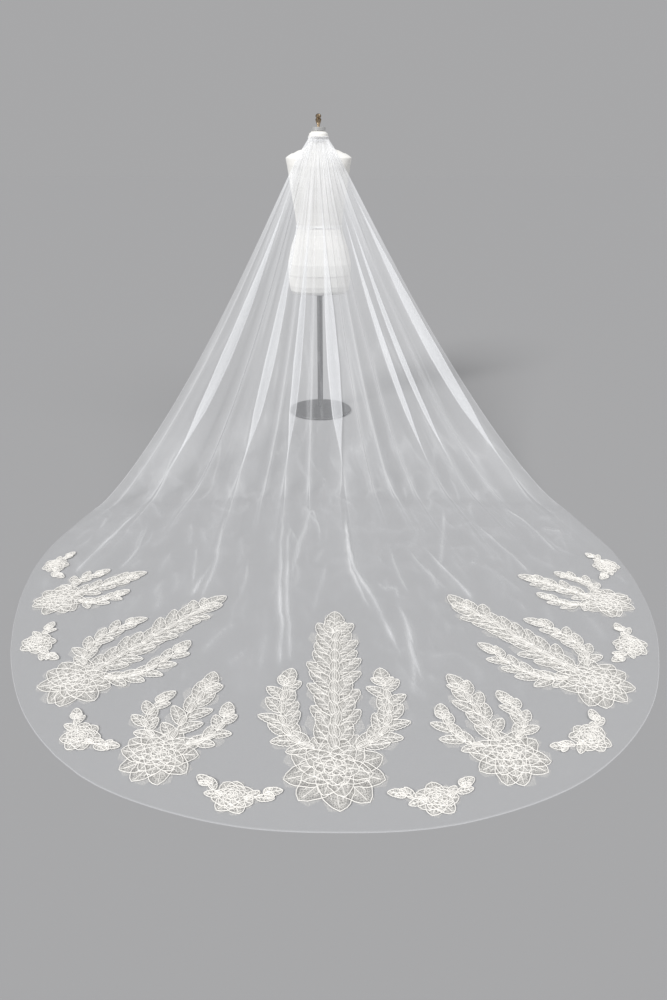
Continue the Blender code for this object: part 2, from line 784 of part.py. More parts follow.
def arc_strip(name, low, high, inner, outer, half_angle, steps):
    """A curved bar round the back of the neck."""
    points = []
    for k in range(steps + 1):
        turn = math.radians(-half_angle + 2 * half_angle * k / steps)
        for radius, height in ((inner, low), (outer, low), (outer, high), (inner, high)):
            points.append((radius * math.sin(turn), -radius * math.cos(turn), height))
    faces = [(0, 1, 2, 3), tuple(4 * steps + k for k in (3, 2, 1, 0))]
    for k in range(steps):
        a, b = 4 * k, 4 * (k + 1)
        for first, second in ((0, 1), (1, 2), (2, 3), (3, 0)):
            faces.append((a + first, b + first, b + second, a + second))
    return add_solid(name, points, faces)


def heading_band(middle):
    """A binding folded over the outside of the gathered top edge."""
    line = middle[0].copy()
    smooth = np.array([line[max(0, j - 2):j + 3].mean(axis=0) for j in range(len(line))])
    smooth = smooth[::5] if (len(smooth) - 1) % 5 == 0 else np.concatenate([smooth[::5], smooth[-1:]])
    away = smooth[:, :2] / np.linalg.norm(smooth[:, :2], axis=1, keepdims=True)
    top, foot = HEADING_REACH
    corners = (
        (foot, -0.008), (foot + HEADING_WALL, -0.008), (top + HEADING_WALL, 0.003), (top, 0.003),
    )
    points = []
    for spot, out in zip(smooth, away):
        for reach, height in corners:
            points.append((spot[0] + out[0] * reach, spot[1] + out[1] * reach, spot[2] + height))
    steps = len(smooth) - 1
    faces = [(0, 1, 2, 3), tuple(4 * steps + k for k in (3, 2, 1, 0))]
    for k in range(steps):
        a, b = 4 * k, 4 * (k + 1)
        for first, second in ((0, 1), (1, 2), (2, 3), (3, 0)):
            faces.append((a + first, b + first, b + second, a + second))
    return add_solid("heading_band", points, faces)


def make_comb():
    """A plain comb between the neck and the gathers: a curved bar with straight teeth."""
    bar = arc_strip("comb", *COMB_BAR, COMB_ARC, COMB_BAR_STEPS)
    near, far = COMB_TOOTH_DEPTH
    for k in range(COMB_TEETH):
        reach = COMB_ARC - COMB_END
        turn = math.radians(-reach + 2 * reach * k / (COMB_TEETH - 1))
        out = np.array([math.sin(turn), -math.cos(turn), 0.0])
        side = np.array([math.cos(turn), math.sin(turn), 0.0])
        points = []
        for height, half in COMB_TOOTH:
            for a, radius in ((-half, near), (half, near), (half, far), (-half, far)):
                points.append(out * radius + side * a + np.array([0.0, 0.0, height]))
        faces = [(0, 1, 2, 3), (7, 6, 5, 4), (0, 4, 5, 1), (1, 5, 6, 2), (2, 6, 7, 3), (3, 7, 4, 0)]
        tooth = add_solid("tooth", points, faces)
        tooth.hide_render = True
        join = bar.modifiers.new("tooth", "BOOLEAN")
        join.operation = "UNION"
        join.solver = "EXACT"
        join.object = tooth
    return bar


def main():
    clear_scene()
    heights = [row[0] for row in FORM_SECTIONS]
    heights += [ARMHOLE_FOOT[1], 1.330, 1.385, 1.408]
    loft("form_torso", [form_ring(height) for height in sorted(heights)])
    ring_wall("waist_tape", 1.0475, 1.0625, TAPE_WALL)
    lathe("stand_base", BASE_PROFILE, 40)
    lathe("stand_pole", POLE_PROFILE, 20)
    lathe("form_collar", COLLAR_PROFILE, 24)
    lathe("neck_disc", DISC_PROFILE, 24)
    lathe("neck_finial", FINIAL_PROFILE, 14)
    middle = veil_middle(lace_boxes())
    middle[..., 2] += VEIL_WALL / 2 * (middle[..., 2] < 0.2)
    sheet_solid("veil_tulle", middle, VEIL_WALL)
    heading_band(middle)
    make_comb()
    for name in spray_names():
        spray_solid(name, VEIL_WALL)
    add_materials()


main()
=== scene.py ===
"""Looks for the veil on its dress form: fine draped tulle, corded lace sprays, covered form, stand.

Metres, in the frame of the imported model. The train runs towards -Y, where the camera stands.
"""

import math

import bpy
import numpy as np
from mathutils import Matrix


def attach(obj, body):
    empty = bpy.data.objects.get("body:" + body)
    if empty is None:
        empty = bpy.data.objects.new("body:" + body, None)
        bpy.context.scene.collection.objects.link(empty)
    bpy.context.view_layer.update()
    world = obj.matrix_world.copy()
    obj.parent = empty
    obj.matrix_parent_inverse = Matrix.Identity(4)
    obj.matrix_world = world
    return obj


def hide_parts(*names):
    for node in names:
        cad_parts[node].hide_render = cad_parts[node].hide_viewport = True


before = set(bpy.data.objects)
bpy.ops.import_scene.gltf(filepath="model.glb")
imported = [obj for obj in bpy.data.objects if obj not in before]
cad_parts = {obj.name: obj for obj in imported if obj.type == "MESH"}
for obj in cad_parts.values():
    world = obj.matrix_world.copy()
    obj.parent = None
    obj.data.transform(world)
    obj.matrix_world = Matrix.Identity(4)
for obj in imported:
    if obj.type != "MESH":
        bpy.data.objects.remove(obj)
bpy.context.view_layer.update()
NUMBERS = np.random.default_rng(11)

CAMERA_AT = (0.044, -4.483, 1.5)
CAMERA_DOWN = 25.07
CAMERA_TURN = -0.44
CAMERA_LENS = 28.0
CAMERA_SENSOR = 36.0
IMAGE_SIZE = (667, 1000)
FLOOR_COLOR = (0.36, 0.36, 0.365)
BACKDROP = (0.388, 0.388, 0.394)
SKY_LIGHT = (0.235, 0.235, 0.24)
# Soft lights: name, strength, width in the sky, tilt and turn in degrees.
SUNS = (("key", 2.7, 22, 50, -42), ("fill", 1.16, 50, 38, 60))
FLOOR_HALF = 30
FLOOR_UNDER = 0.0005

# Dress form: height, half width, depth to the back, depth to the front.
FORM_SECTIONS = (
    (0.700, 0.150, 0.096, 0.086), (0.712, 0.160, 0.109, 0.094), (0.740, 0.168, 0.119, 0.100),
    (0.800, 0.173, 0.128, 0.102), (0.865, 0.174, 0.130, 0.100), (0.950, 0.155, 0.115, 0.098),
    (1.010, 0.133, 0.096, 0.092), (1.040, 0.125, 0.089, 0.090), (1.070, 0.1245, 0.088, 0.091),
    (1.130, 0.132, 0.092, 0.098), (1.190, 0.1425, 0.100, 0.112), (1.250, 0.152, 0.105, 0.125),
    (1.300, 0.159, 0.107, 0.118), (1.360, 0.168, 0.104, 0.095), (1.400, 0.176, 0.090, 0.062),
    (1.418, 0.140, 0.080, 0.057), (1.434, 0.098, 0.070, 0.054), (1.445, 0.072, 0.062, 0.053),
    (1.455, 0.060, 0.057, 0.053), (1.464, 0.0535, 0.0535, 0.053), (1.500, 0.053, 0.053, 0.053),
    (1.516, 0.047, 0.047, 0.047), (1.523, 0.035, 0.035, 0.035),
)
FORM_POWER = 2.3
NECK_POWER = 2.0
SHOULDER_HEIGHTS = (1.40, 1.46)
FORM_STEPS = 144
FORM_RINGS = 190
NO_LIMIT = 9.0
ARMHOLE_TOP = (0.176, 1.405)
ARMHOLE_FOOT = (0.1555, 1.270)
VEIL_OFF_FORM = 0.0055
FORM_PROBES = (-0.016, -0.008, 0.0, 0.008)
VEIL_MIDDLE = 0.00065

# Veil above the form: height, half width, depth at the centre, depth at the edge.
NECK_ROWS = (
    (1.493, 0.050, 0.0585, 0.030), (1.465, 0.068, 0.0670, 0.030), (1.432, 0.092, 0.0800, 0.032),
    (1.395, 0.114, 0.0960, 0.045), (1.355, 0.136, 0.1120, 0.055),
)
RELEASE = (1.280, 1.315, 0.157, 0.114, 0.052)
TENT_SHARES = (0.0, 0.09, 0.20, 0.34, 0.50, 0.66, 0.78, 0.87, 0.94, 1.0)
TENT_CURVE = (1.45, 1.30)
CONTACT = ((-0.985, -1.35), (0.0, -1.27), (1.085, -1.35))
FLOOR_SHARES = (0.10, 0.25, 0.43, 0.62, 0.81, 1.0)
HEM = (
    (-1.01, -1.43), (-1.07, -1.68), (-1.08, -1.92), (-1.04, -2.20), (-0.95, -2.49), (-0.80, -2.76),
    (-0.57, -2.98), (-0.25, -3.11), (0.05, -3.145), (0.37, -3.12), (0.71, -2.98), (0.97, -2.72),
    (1.12, -2.39), (1.18, -2.08), (1.18, -1.77), (1.11, -1.45),
)
HEM_STEPS = 6
HEM_MEETS = (
    (0.0, 0.0), (0.05, 0.12), (0.10, 0.21), (0.19, 0.30), (0.28, 0.385), (0.387, 0.445),
    (0.53, 0.53), (0.60, 0.58), (0.70, 0.655), (0.773, 0.705), (0.828, 0.75), (0.90, 0.81),
    (0.95, 0.87), (1.0, 1.0),
)
# Main folds: place across the veil, half width there, depth, run on the floor, flap side.
FOLDS = (
    (0.028, 0.0060, 0.008, 0.25, 1), (0.096, 0.0200, 0.017, 0.75, 1),
    (0.190, 0.0090, 0.009, 0.45, -1), (0.275, 0.0190, 0.019, 1.10, 1),
    (0.346, 0.0060, 0.008, 0.40, 1), (0.390, 0.0160, 0.015, 0.70, 1),
    (0.450, 0.0080, 0.008, 0.50, 1), (0.540, 0.0240, 0.021, 0.95, -1),
    (0.606, 0.0075, 0.008, 0.45, -1), (0.644, 0.0090, 0.009, 0.40, 1),
    (0.700, 0.0090, 0.010, 0.75, -1), (0.770, 0.0120, 0.013, 0.90, -1),
    (0.828, 0.0110, 0.012, 0.70, -1), (0.880, 0.0075, 0.008, 0.40, -1),
    (0.960, 0.0220, 0.019, 0.60, -1),
)
# One fold's section flat, upright and pressed over: places in half widths, shares of its depth.
FOLD_STATES = (
    ((-1.5, -0.68, 0.14, 0.96, 1.78, 2.6), (0.0, 0.10, 0.45, 0.90, 1.0, 0.25)),
    ((-1.5, -0.30, 0.10, 0.14, 0.55, 2.6), (0.0, 0.05, 0.25, 0.80, 1.0, 0.25)),
    ((-1.5, 1.00, 1.10, -1.10, -1.00, 2.6), (0.0, 0.0, 0.30, 0.55, 1.0, 0.30)),
)
FOLD_DENSITY = (0.0, 0.25, 1.0, 1.0, 0.25, 0.0)
BAND_MIDDLE = 0.40
BAND_EDGE = 1.05
PRESSED_DEPTH = 0.0115
LEAST_PRESSED = 0.0075
PRESSED_TURN = 0.3
SHALLOW_TURN = 0.45
# Below this width of the veil, in metres, its folds lose no more depth.
NARROWEST = 0.42
# How far down the tent the folds start to lose depth, and the share lost by its foot.
FOOT_START = 0.75
FOOT_LOSS = 0.4
# Net in a fold on the tent: the part that is always there, and the part that grows with its turn.
TENT_DENSE = (0.42, 0.58)
FLOOR_TURN = 0.10
FLOOR_DEPTH = 0.6
FLOOR_DENSE = 0.55
PLAIN_COLUMNS = (0.0, 0.010, 0.055, 0.158, 0.222, 0.332, 0.5785, 0.728, 1.0)
NECK_TURN = (0.0, 0.0, 0.0, 0.08, 0.20)
NECK_EVEN = (1.0, 1.0, 0.9, 0.6, 0.3)
NECK_GATHER = (0.0009, 0.0016, 0.0023, 0.0022, 0.0014)
TENT_TURN = (0.35, 0.60, 0.80, 1.0, 1.0, 0.88, 0.60, 0.48, 0.22, 0.08)
TENT_PINCH = (1.0, 1.0, 1.0, 1.0, 1.0, 0.90, 0.72, 0.62, 0.75, 0.90)
# Rows of the fine sheet between neighbouring levels: on the neck, down the tent, on the floor.
NECK_STEPS = 5
RELEASE_ROUNDS = 36
TENT_STEPS = 7
FLOOR_STEPS = 14
# The model's row where the veil meets the floor, counted from the heading.
CONTACT_ROW = 14
COLUMN_STEP = 0.0024
EDGE_HAIR = 0.0012
FEWEST_STEPS = 3

# Lace border: node, steps round the hem from its middle, kind, size. All but the first are mirrored.
LACE_STEP = 0.275
LACE_BORDER = (
    ("centre", 0, "tall", 1.10),
    ("inner_sprig", 1, "sprig", 1.0),
    ("inner", 2, "short", 0.94),
    ("middle_sprig", 3, "sprig", 1.0),
    ("middle", 4, "tall", 0.92),
    ("outer_sprig", 5, "sprig", 1.0),
    ("outer", 6, "short", 0.84),
    ("end_sprig", 7, "sprig", 0.90),
)
# Large sprays lean this far from straight in off the hem towards a spot up the train.
LACE_FACE = (0.05, -0.60)
LACE_LEAN = 0.55
# Rosette of each kind: way in from the hem, petals, petal length, petal width.
ROSETTES = {
    "tall": (0.185, 10, 0.130, 0.092),
    "short": (0.170, 10, 0.118, 0.084),
    "sprig": (0.085, 7, 0.058, 0.056),
}
# Fronds of each kind: foot, knee and tip across and up, pairs of leaves, leaf length, leaf width.
# A frond that starts off the middle line is mirrored.
FRONDS = {
    "tall": (
        (0.000, 0.060, 0.000, 0.280, 0.000, 0.560, 4, 0.098, 0.116),
        (0.050, 0.070, 0.165, 0.110, 0.135, 0.310, 2, 0.066, 0.086),
    ),
    "short": (
        (0.000, 0.060, 0.000, 0.180, 0.000, 0.300, 2, 0.078, 0.098),
        (0.050, 0.060, 0.130, 0.090, 0.112, 0.200, 1, 0.058, 0.080),
    ),
    "sprig": (
        (0.025, 0.000, 0.052, 0.008, 0.074, 0.026, 0, 0.040, 0.054),
    ),
}
# How a frond's leaves swell along its spine, their turns and sizes, and a leaf's length and width.
BODY_SWELL = (0.55, 1.0, 0.95, 0.45)
LEAF_TURNS = ((36, 1.0), (-39, 0.93))
LEAF_SHAPE = (1.18, 0.62)
# Rings of a rosette: petals more than its count, length, width, turn in petals, rise. Then its heart.
ROSETTE_RINGS = (
    (0, 0.97, 0.90, 0.0, 0.0), (0, 0.68, 0.70, 0.5, 0.0018), (-3, 0.44, 0.62, 0.2, 0.0034),
)
HEART_RING = (5, 0.23, 0.42, 0.1, 0.0048)
# Leaves at a frond's tip: turn, length, width, rise.
FROND_TIP = ((0, LEAF_SHAPE[0], 0.56, 0.0006), (30, 0.70, 0.36, 0.0014), (-33, 0.66, 0.36, 0.0014))
# Stitched cords: half width and height.
EDGE_CORD = (0.0014, 0.0014)
RIB_CORD = (0.0010, 0.0012)
LEAF_VEIN = (0.0008, 0.0010)
PETAL_VEIN = (0.0007, 0.0009)
SPINE_CORD = (0.0013, 0.0014)
CURL_CORD = (0.0012, 0.0012)
# Mark across each petal, from edge to midline to edge: it fills the lace ground in towards the midline, and
# darkens the ground towards the edges as painted shade.
PETAL_MARKS = (0.0, 0.8, 1.0, 0.8, 0.0)
LACE_FLOOR = 0.0022
GROUND_FLOOR = 0.0018
# Decimals to which corners of a net ground have to agree to be one point.
GROUND_JOIN = 5
LEAF_SPACING = 0.052
PICOTS = 7.0

# Creases on the floor: half width, height, how much closer the net lies, then the crease's
# course as the photograph shows it, read in pixels of its 667 by 1000 frame.
CREASES = (
    (0.0030, 0.0035, 0.50, ((144, 507), (122, 527), (100, 549), (84, 563), (71, 579), (56, 599), (48, 608))),
    (0.0030, 0.0025, 0.28, ((150, 520), (137, 550), (120, 568), (104, 583), (97, 591))),
    (0.0025, 0.0030, 0.35, ((198, 545), (194, 566), (193, 588))),
    (0.0030, 0.0035, 0.38, ((227, 515), (219, 550), (213, 572), (200, 603), (187, 641))),
    (0.0035, 0.0040, 0.55, ((213, 561), (202, 579), (184, 608), (164, 637), (153, 661), (144, 688))),
    (0.0030, 0.0040, 0.50, ((283, 507), (282, 550), (281, 620), (281, 660), (279, 700), (274, 740))),
    (0.0030, 0.0035, 0.42, ((289, 520), (289, 550), (288, 606), (291, 659), (296, 706))),
    (0.0025, 0.0025, 0.30, ((312, 508), (300, 550), (291, 588))),
    (0.0050, 0.0030, 0.18, ((242, 623), (222, 632), (200, 654))),
    (0.0050, 0.0030, 0.16, ((249, 648), (236, 658), (222, 670))),
    (0.0030, 0.0040, 0.52, ((345, 510), (349, 545), (351, 570), (362, 594), (374, 616))),
    (0.0035, 0.0045, 0.58, ((348, 530), (355, 570), (372, 596), (388, 630), (403, 662))),
    (0.0030, 0.0030, 0.30, ((376, 582), (388, 590), (397, 588), (397, 600))),
    (0.0035, 0.0040, 0.48, ((397, 600), (406, 624), (412, 650), (418, 670), (425, 688))),
    (0.0030, 0.0030, 0.32, (
        (400, 616), (406, 636), (413, 660), (414, 682), (414, 700), (413, 718), (404, 734))),
    (0.0030, 0.0030, 0.34, ((388, 545), (398, 570), (404, 584), (411, 596))),
    (0.0030, 0.0035, 0.40, (
        (406, 546), (426, 570), (448, 592), (464, 614), (476, 636), (486, 658), (496, 670))),
    (0.0030, 0.0035, 0.50, ((424, 546), (446, 570), (466, 592), (486, 618), (510, 644), (526, 664))),
    (0.0030, 0.0030, 0.34, ((470, 520), (500, 546), (526, 570), (546, 596), (560, 612))),
    (0.0040, 0.0030, 0.20, ((546, 602), (550, 618), (554, 636))),
    (0.0030, 0.0035, 0.42, ((501, 508), (530, 526), (560, 556))),
    (0.0030, 0.0030, 0.30, ((290, 587), (299, 545), (312, 512), (318, 530), (322, 548))),
    (0.0030, 0.0030, 0.34, ((444, 508), (444, 540), (440, 572))),
    (0.0040, 0.0030, 0.20, ((330, 560), (318, 590), (312, 620))),
    (0.0040, 0.0030, 0.18, ((250, 560), (244, 590), (232, 615))),
    (0.0050, 0.0030, 0.15, ((90, 640), (110, 625), (130, 618))),
    (0.0050, 0.0030, 0.16, ((470, 560), (500, 575), (530, 600))),
    (0.0040, 0.0030, 0.20, ((424, 560), (436, 585), (446, 612), (450, 640))),
    (0.0040, 0.0030, 0.22, ((156, 686), (151, 701), (133, 719))),
    (0.0040, 0.0030, 0.20, ((424, 676), (440, 682), (452, 686))),
    (0.0040, 0.0030, 0.20, ((546, 650), (541, 672), (536, 694))),
    (0.0050, 0.0030, 0.15, ((110, 610), (128, 600), (150, 596))),
)
SMALL_CREASES = 230
FOLD_COVER = 0.42
SHEET_COVER = 0.30
FLOOR_COVER = 0.23
OFF_COVER = 0.0045
# Strengths down the veil: rows of the model counted from the heading, and the strength at each.
SOFT_DRAPE = ((0, 3, 5, 7, 10, 13, 14.5, 16), (0, 0.0006, 0.002, 0.006, 0.010, 0.006, 0.002, 0))
STREAKS = ((0, 5, 8, 12, 14, 16, 18), (0.30, 0.22, 0.13, 0.12, 0.10, 0.05, 0.0))
LONG_CREASES = ((0, 4, 8, 13, 14.5, 16, 18), (0.1, 0.2, 0.30, 0.36, 0.2, 0.1, 0.0))
NET_THINNED = ((2.5, 6, 9, 11), (1.0, 0.70, 0.80, 1.0))
RUMPLES = ((9.5, 12.0, 15, 18.2, 19.6), (0, 0.6, 1.0, 0.8, 0))
STREAK_HEIGHT = 0.0030
STREAK_COVER = 0.40
LONG_HEIGHT = 0.0050
LONG_COVER = 0.26
HAIR_COVER = 0.55
FULLEST_NET = 0.93
BAREST_NET = 0.06
RUMPLE_COVER = 0.10
RUMPLE_HEIGHT = 0.0022
FLAT_ROUND_LACE = (0.10, 0.30)
# Heading: height on the neck, way out, depth of its frill. Tape: height, way out from the form.
HEADING_PROFILE = (
    (-0.014, 0.0014, 0.0004), (-0.010, 0.0023, 0.0008), (-0.006, 0.0028, 0.0010), (-0.001, 0.0032, 0.0012),
    (0.003, 0.0032, 0.0014), (0.006, 0.0026, 0.0018),
)
HEADING_COLUMNS = 520
HEADING_GATHERS = 62
TAPE_PROFILE = (
    (1.0475, 0.0008), (1.0485, 0.0016), (1.0500, 0.0013), (1.0550, 0.0013), (1.0600, 0.0013),
    (1.0615, 0.0016), (1.0625, 0.0008),
)
TAPE_STEPS = 144
TAPE_MIDDLE = 1.055
STITCHED_ENDS = ((-0.030, 0.022), (0.042, 0.068))
STITCH_STEPS = 8
STITCH_OFF = 0.0018
# Section of a stitched end: height from its middle, way out.
STITCH_SECTION = ((0.004, 0.0), (0.0028, 0.0016), (-0.0028, 0.0016), (-0.004, 0.0))
# Grain of the materials, in cells a metre.
TULLE_CELLS = 650.0
LACE_CELLS = 170.0
GROUND_CELLS = 300.0
CORD_TWIST = 900.0
FINE_WEAVE = 900.0
FORM_WEAVE = 700.0
WORN_PATCHES = 9.0
# Looks of the model's own nodes: nodes, name, light and dark colour, roughness, metal, grain.
STAND_LOOKS = (
    (("stand_base", "stand_pole", "form_collar"),
     "stand_paint", (0.032, 0.032, 0.034), (0.018, 0.018, 0.020), 0.42, 0.0, 60.0),
    (("neck_disc",), "disc_steel", (0.86, 0.86, 0.85), (0.72, 0.72, 0.71), 0.38, 0.7, 80.0),
    (("neck_finial",), "finial_bronze", (0.52, 0.40, 0.27), (0.30, 0.22, 0.14), 0.28, 1.0, 90.0),
    (("comb",), "comb_plastic", (0.72, 0.72, 0.70), (0.64, 0.64, 0.62), 0.35, 0.0, 200.0),
)


def new_piece(name, points, faces, smooth=True, marks=None, uvs=None):
    """A mesh object from arrays, with one number a point for its material where marks is given."""
    mesh = bpy.data.meshes.new(name)
    mesh.from_pydata(np.asarray(points).tolist(), [], np.asarray(faces).tolist()
                     if isinstance(faces, np.ndarray) else faces)
    mesh.update()
    if marks is not None:
        for title, values in marks.items():
            layer = mesh.attributes.new(title, "FLOAT", "POINT")
            layer.data.foreach_set("value", np.asarray(values, dtype=np.float32))
    if uvs is not None:
        layer = mesh.uv_layers.new(name="flat")
        corners = np.empty(len(mesh.loops), dtype=np.int32)
        mesh.loops.foreach_get("vertex_index", corners)
        layer.data.foreach_set("uv", np.asarray(uvs, dtype=np.float32)[corners].ravel())
    if smooth:
        mesh.shade_smooth()
    item = bpy.data.objects.new(name, mesh)
    bpy.context.scene.collection.objects.link(item)
    return item


# Shape of the veil
def column(table, place):
    return np.array([row[place] for row in table], dtype=float)


def form_section(height):
    heights = column(FORM_SECTIONS, 0)
    return tuple(np.interp(height, heights, column(FORM_SECTIONS, k)) for k in (1, 2, 3))


def form_power(height):
    """How square the form's section is: rounder from the shoulders up to the neck."""
    return float(np.interp(height, SHOULDER_HEIGHTS, (FORM_POWER, NECK_POWER)))


def form_back(x, height):
    """Depth of the form's back behind points at one height, or zero beside it."""
    half, back, _ = form_section(height)
    power = form_power(height)
    share = 1.0 - np.minimum(1.0, np.abs(x) / half) ** power
    return back * share ** (1 / power)


def over_form(places, half, centre_depth, edge_depth, height):
    """Points of the veil resting on the form's back, one height a point."""
    across = 2 * places - 1
    x = half * across
    depth = edge_depth + (centre_depth - edge_depth) * (1 - np.abs(across) ** 2.2)
    behind = np.zeros_like(x)
    for step in FORM_PROBES:
        each = [float(form_back(a, h + step)) for a, h in zip(x, height)]
        behind = np.maximum(behind, each)
    return np.stack([x, -np.maximum(depth, behind + VEIL_OFF_FORM), height], axis=1)


def neck_line(places, number):
    height, half, centre, edge = NECK_ROWS[number]
    return over_form(places, half, centre, edge, np.full_like(places, height))


def release_line(places):
    centre_height, edge_height, half, centre_depth, edge_depth = RELEASE
    height = centre_height + (edge_height - centre_height) * (2 * places - 1) ** 2
    return over_form(places, half, centre_depth, edge_depth, height)


def contact_line(places):
    left, centre, right = (np.array(point) for point in CONTACT)
    x = left[0] + (right[0] - left[0]) * places
    y = centre[1] + ((left[1] + right[1]) / 2 - centre[1]) * (2 * places - 1) ** 2
    return np.stack([x, y], axis=1)


def smooth_line(points, steps):
    """A smooth curve through a few points, with even steps between each two."""
    points = np.array(points, dtype=float)
    ends = np.concatenate([[2 * points[0] - points[1]], points, [2 * points[-1] - points[-2]]])
    line = []
    for before, start, end, after in zip(ends, ends[1:], ends[2:], ends[3:]):
        for k in range(steps):
            t = k / steps
            line.append(
                start + (end - before) * t / 2
                + (2 * before - 5 * start + 4 * end - after) * t ** 2 / 2
                + (3 * (start - end) + after - before) * t ** 3 / 2)
    line.append(points[-1])
    return np.array(line)


def hem_run():
    """The hem's curve, and how far round it each point lies."""
    outline = smooth_line(HEM, HEM_STEPS)
    return outline, np.concatenate([[0.0], np.cumsum(np.hypot(*np.diff(outline, axis=0).T))])


def hem_point(share):
    outline, run = hem_run()
    return np.array([np.interp(share * run[-1], run, outline[:, k]) for k in (0, 1)])


def hem_frame(place):
    """A point of the hem this far round from its middle, and the way straight in from it."""
    share = 0.5 + place / hem_run()[1][-1]
    ahead = hem_point(share + 0.004) - hem_point(share - 0.004)
    ahead = ahead / np.linalg.norm(ahead)
    return hem_point(share), np.array([-ahead[1], ahead[0]])


def hem_line(places):
    outline, run = hem_run()
    along = np.interp(places, column(HEM_MEETS, 0), column(HEM_MEETS, 1)) * run[-1]
    return np.stack([np.interp(along, run, outline[:, k]) for k in (0, 1)], axis=1)


def floor_spot(x, y):
    """The floor point that the camera sees at a pixel of the photograph's frame."""
    focal = CAMERA_LENS / CAMERA_SENSOR * max(IMAGE_SIZE)
    across, under = (x - IMAGE_SIZE[0] / 2) / focal, (y - IMAGE_SIZE[1] / 2) / focal
    pitch, turn = math.radians(CAMERA_DOWN), math.radians(CAMERA_TURN)
    ahead = math.cos(pitch) - under * math.sin(pitch)
    reach = CAMERA_AT[2] / (math.sin(pitch) + under * math.cos(pitch))
    return (CAMERA_AT[0] + reach * (across * math.cos(turn) - ahead * math.sin(turn)),
            CAMERA_AT[1] + reach * (across * math.sin(turn) + ahead * math.cos(turn)))


def tent_line(places, share):
    start = release_line(places)
    curve = TENT_CURVE[0] + (TENT_CURVE[1] - TENT_CURVE[0]) * (2 * places - 1) ** 2
    plan = start[:, :2] * (1 - share) + contact_line(places) * share
    height = start[:, 2] * (1 - share) ** curve
    return np.column_stack([plan, height])


def floor_line(places, share):
    plan = contact_line(places) * (1 - share) + hem_line(places) * share
    return np.column_stack([plan, np.zeros(len(places))])


def smooth_blend(lines, spot):
    """A line between given lines, on a smooth curve through them."""
    low = min(int(spot), len(lines) - 2)
    t = spot - low
    before, here = lines[max(low - 1, 0)], lines[low]
    after, later = lines[low + 1], lines[min(low + 2, len(lines) - 1)]
    return 0.5 * (
        2 * here + (after - before) * t + (2 * before - 5 * here + 4 * after - later) * t ** 2
        + (3 * here - before - 3 * after + later) * t ** 3
    )


def column_table():
    rows = [(place, -1, 0) for place in PLAIN_COLUMNS]
    for number, (place, half, _, _, side) in enumerate(FOLDS):
        for point, across in enumerate(FOLD_STATES[0][0]):
            rows.append((place + side * across * half, number, point))
    rows.sort(key=lambda row: row[0])
    return rows


def fold_point(number, point, turn, pinch):
    _, half, _, _, side = FOLDS[number]
    first = 0 if turn < 0.5 else 1
    share = (turn - 0.5 * first) / 0.5
    (flat, _), (before, depth_before), (after, depth_after) = (
        FOLD_STATES[0], FOLD_STATES[first], FOLD_STATES[first + 1])
    across = before[point] * (1 - share) + after[point] * share
    depth = depth_before[point] * (1 - share) + depth_after[point] * share
    if 0 < point < 5:
        across *= pinch
    return side * (across - flat[point]) * half, depth


def level_rows():
    """Fine rows from heading to hem: part, share, and its place among the model's rows."""
    rows = []
    for k in range(5 * NECK_STEPS):
        rows.append(("neck", k / NECK_STEPS, k / NECK_STEPS))
    for low in range(len(TENT_SHARES) - 1):
        for k in range(TENT_STEPS):
            t = k / TENT_STEPS
            share = TENT_SHARES[low] * (1 - t) + TENT_SHARES[low + 1] * t
            rows.append(("tent", share, 5 + low + t))
    shares = (0.0,) + FLOOR_SHARES
    for low in range(len(shares) - 1):
        for k in range(1 if low == 0 else 0, FLOOR_STEPS):
            t = k / FLOOR_STEPS
            share = shares[low] * (1 - t) + shares[low + 1] * t
            rows.append(("floor", share, CONTACT_ROW + low + t))
    rows.append(("floor", 1.0 - 3 * EDGE_HAIR, 20.0 - 0.02))
    rows.append(("floor", 1.0, 20.0))
    rows.insert(5 * NECK_STEPS + 9 * TENT_STEPS, ("tent", 1.0, float(CONTACT_ROW)))
    return rows


def way(bearing):
    """The unit vector along a bearing in degrees."""
    turn = math.radians(bearing)
    return np.array([math.cos(turn), math.sin(turn)])


def lace_boxes():
    """The plan extent of each spray: least and most x, least and most y."""
    boxes = []
    for name in spray_names():
        spots = []
        for foot, bearing, length, width in cad_petals(name):
            for share in (0.0, 0.5, 1.0):
                spot = np.array(foot) + way(bearing) * length * share
                spots += [spot - width / 2, spot + width / 2]
        spots = np.array(spots)
        boxes.append((spots[:, 0].min(), spots[:, 0].max(), spots[:, 1].min(), spots[:, 1].max()))
    return boxes


def upsample(values, places, fine_places):
    """Values at the model's columns carried to the fine columns, one array a coordinate."""
    if values.ndim == 1:
        return np.interp(fine_places, places, values)
    return np.stack(
        [np.interp(fine_places, places, values[:, k]) for k in range(values.shape[1])], axis=1)


def soften(grid, rounds, axis):
    """Rounds off corners along one direction, with the ends kept."""
    grid = np.moveaxis(grid, axis, 0).copy()
    for _ in range(rounds):
        middle = 0.25 * grid[:-2] + 0.5 * grid[1:-1] + 0.25 * grid[2:]
        grid[1:-1] = middle
    return np.moveaxis(grid, 0, axis)


def lattice_noise(x, y, seed):
    """Smooth noise from -1 to 1 on a unit lattice."""
    table = np.random.default_rng(seed).uniform(-1, 1, (256, 256))
    x0, y0 = np.floor(x).astype(int), np.floor(y).astype(int)
    tx, ty = x - x0, y - y0
    tx, ty = tx * tx * (3 - 2 * tx), ty * ty * (3 - 2 * ty)
    a = table[x0 % 256, y0 % 256]
    b = table[(x0 + 1) % 256, y0 % 256]
    c = table[x0 % 256, (y0 + 1) % 256]
    d = table[(x0 + 1) % 256, (y0 + 1) % 256]
    return (a * (1 - tx) + b * tx) * (1 - ty) + (c * (1 - tx) + d * tx) * ty


def ridges(x, y, seed, sharpness=6.0):
    """Thin winding crests from 0 to 1, as creases in cloth."""
    noise = lattice_noise(x, y, seed) + 0.35 * lattice_noise(2.1 * x, 2.1 * y, seed + 1)
    return np.exp(-sharpness * np.abs(noise))


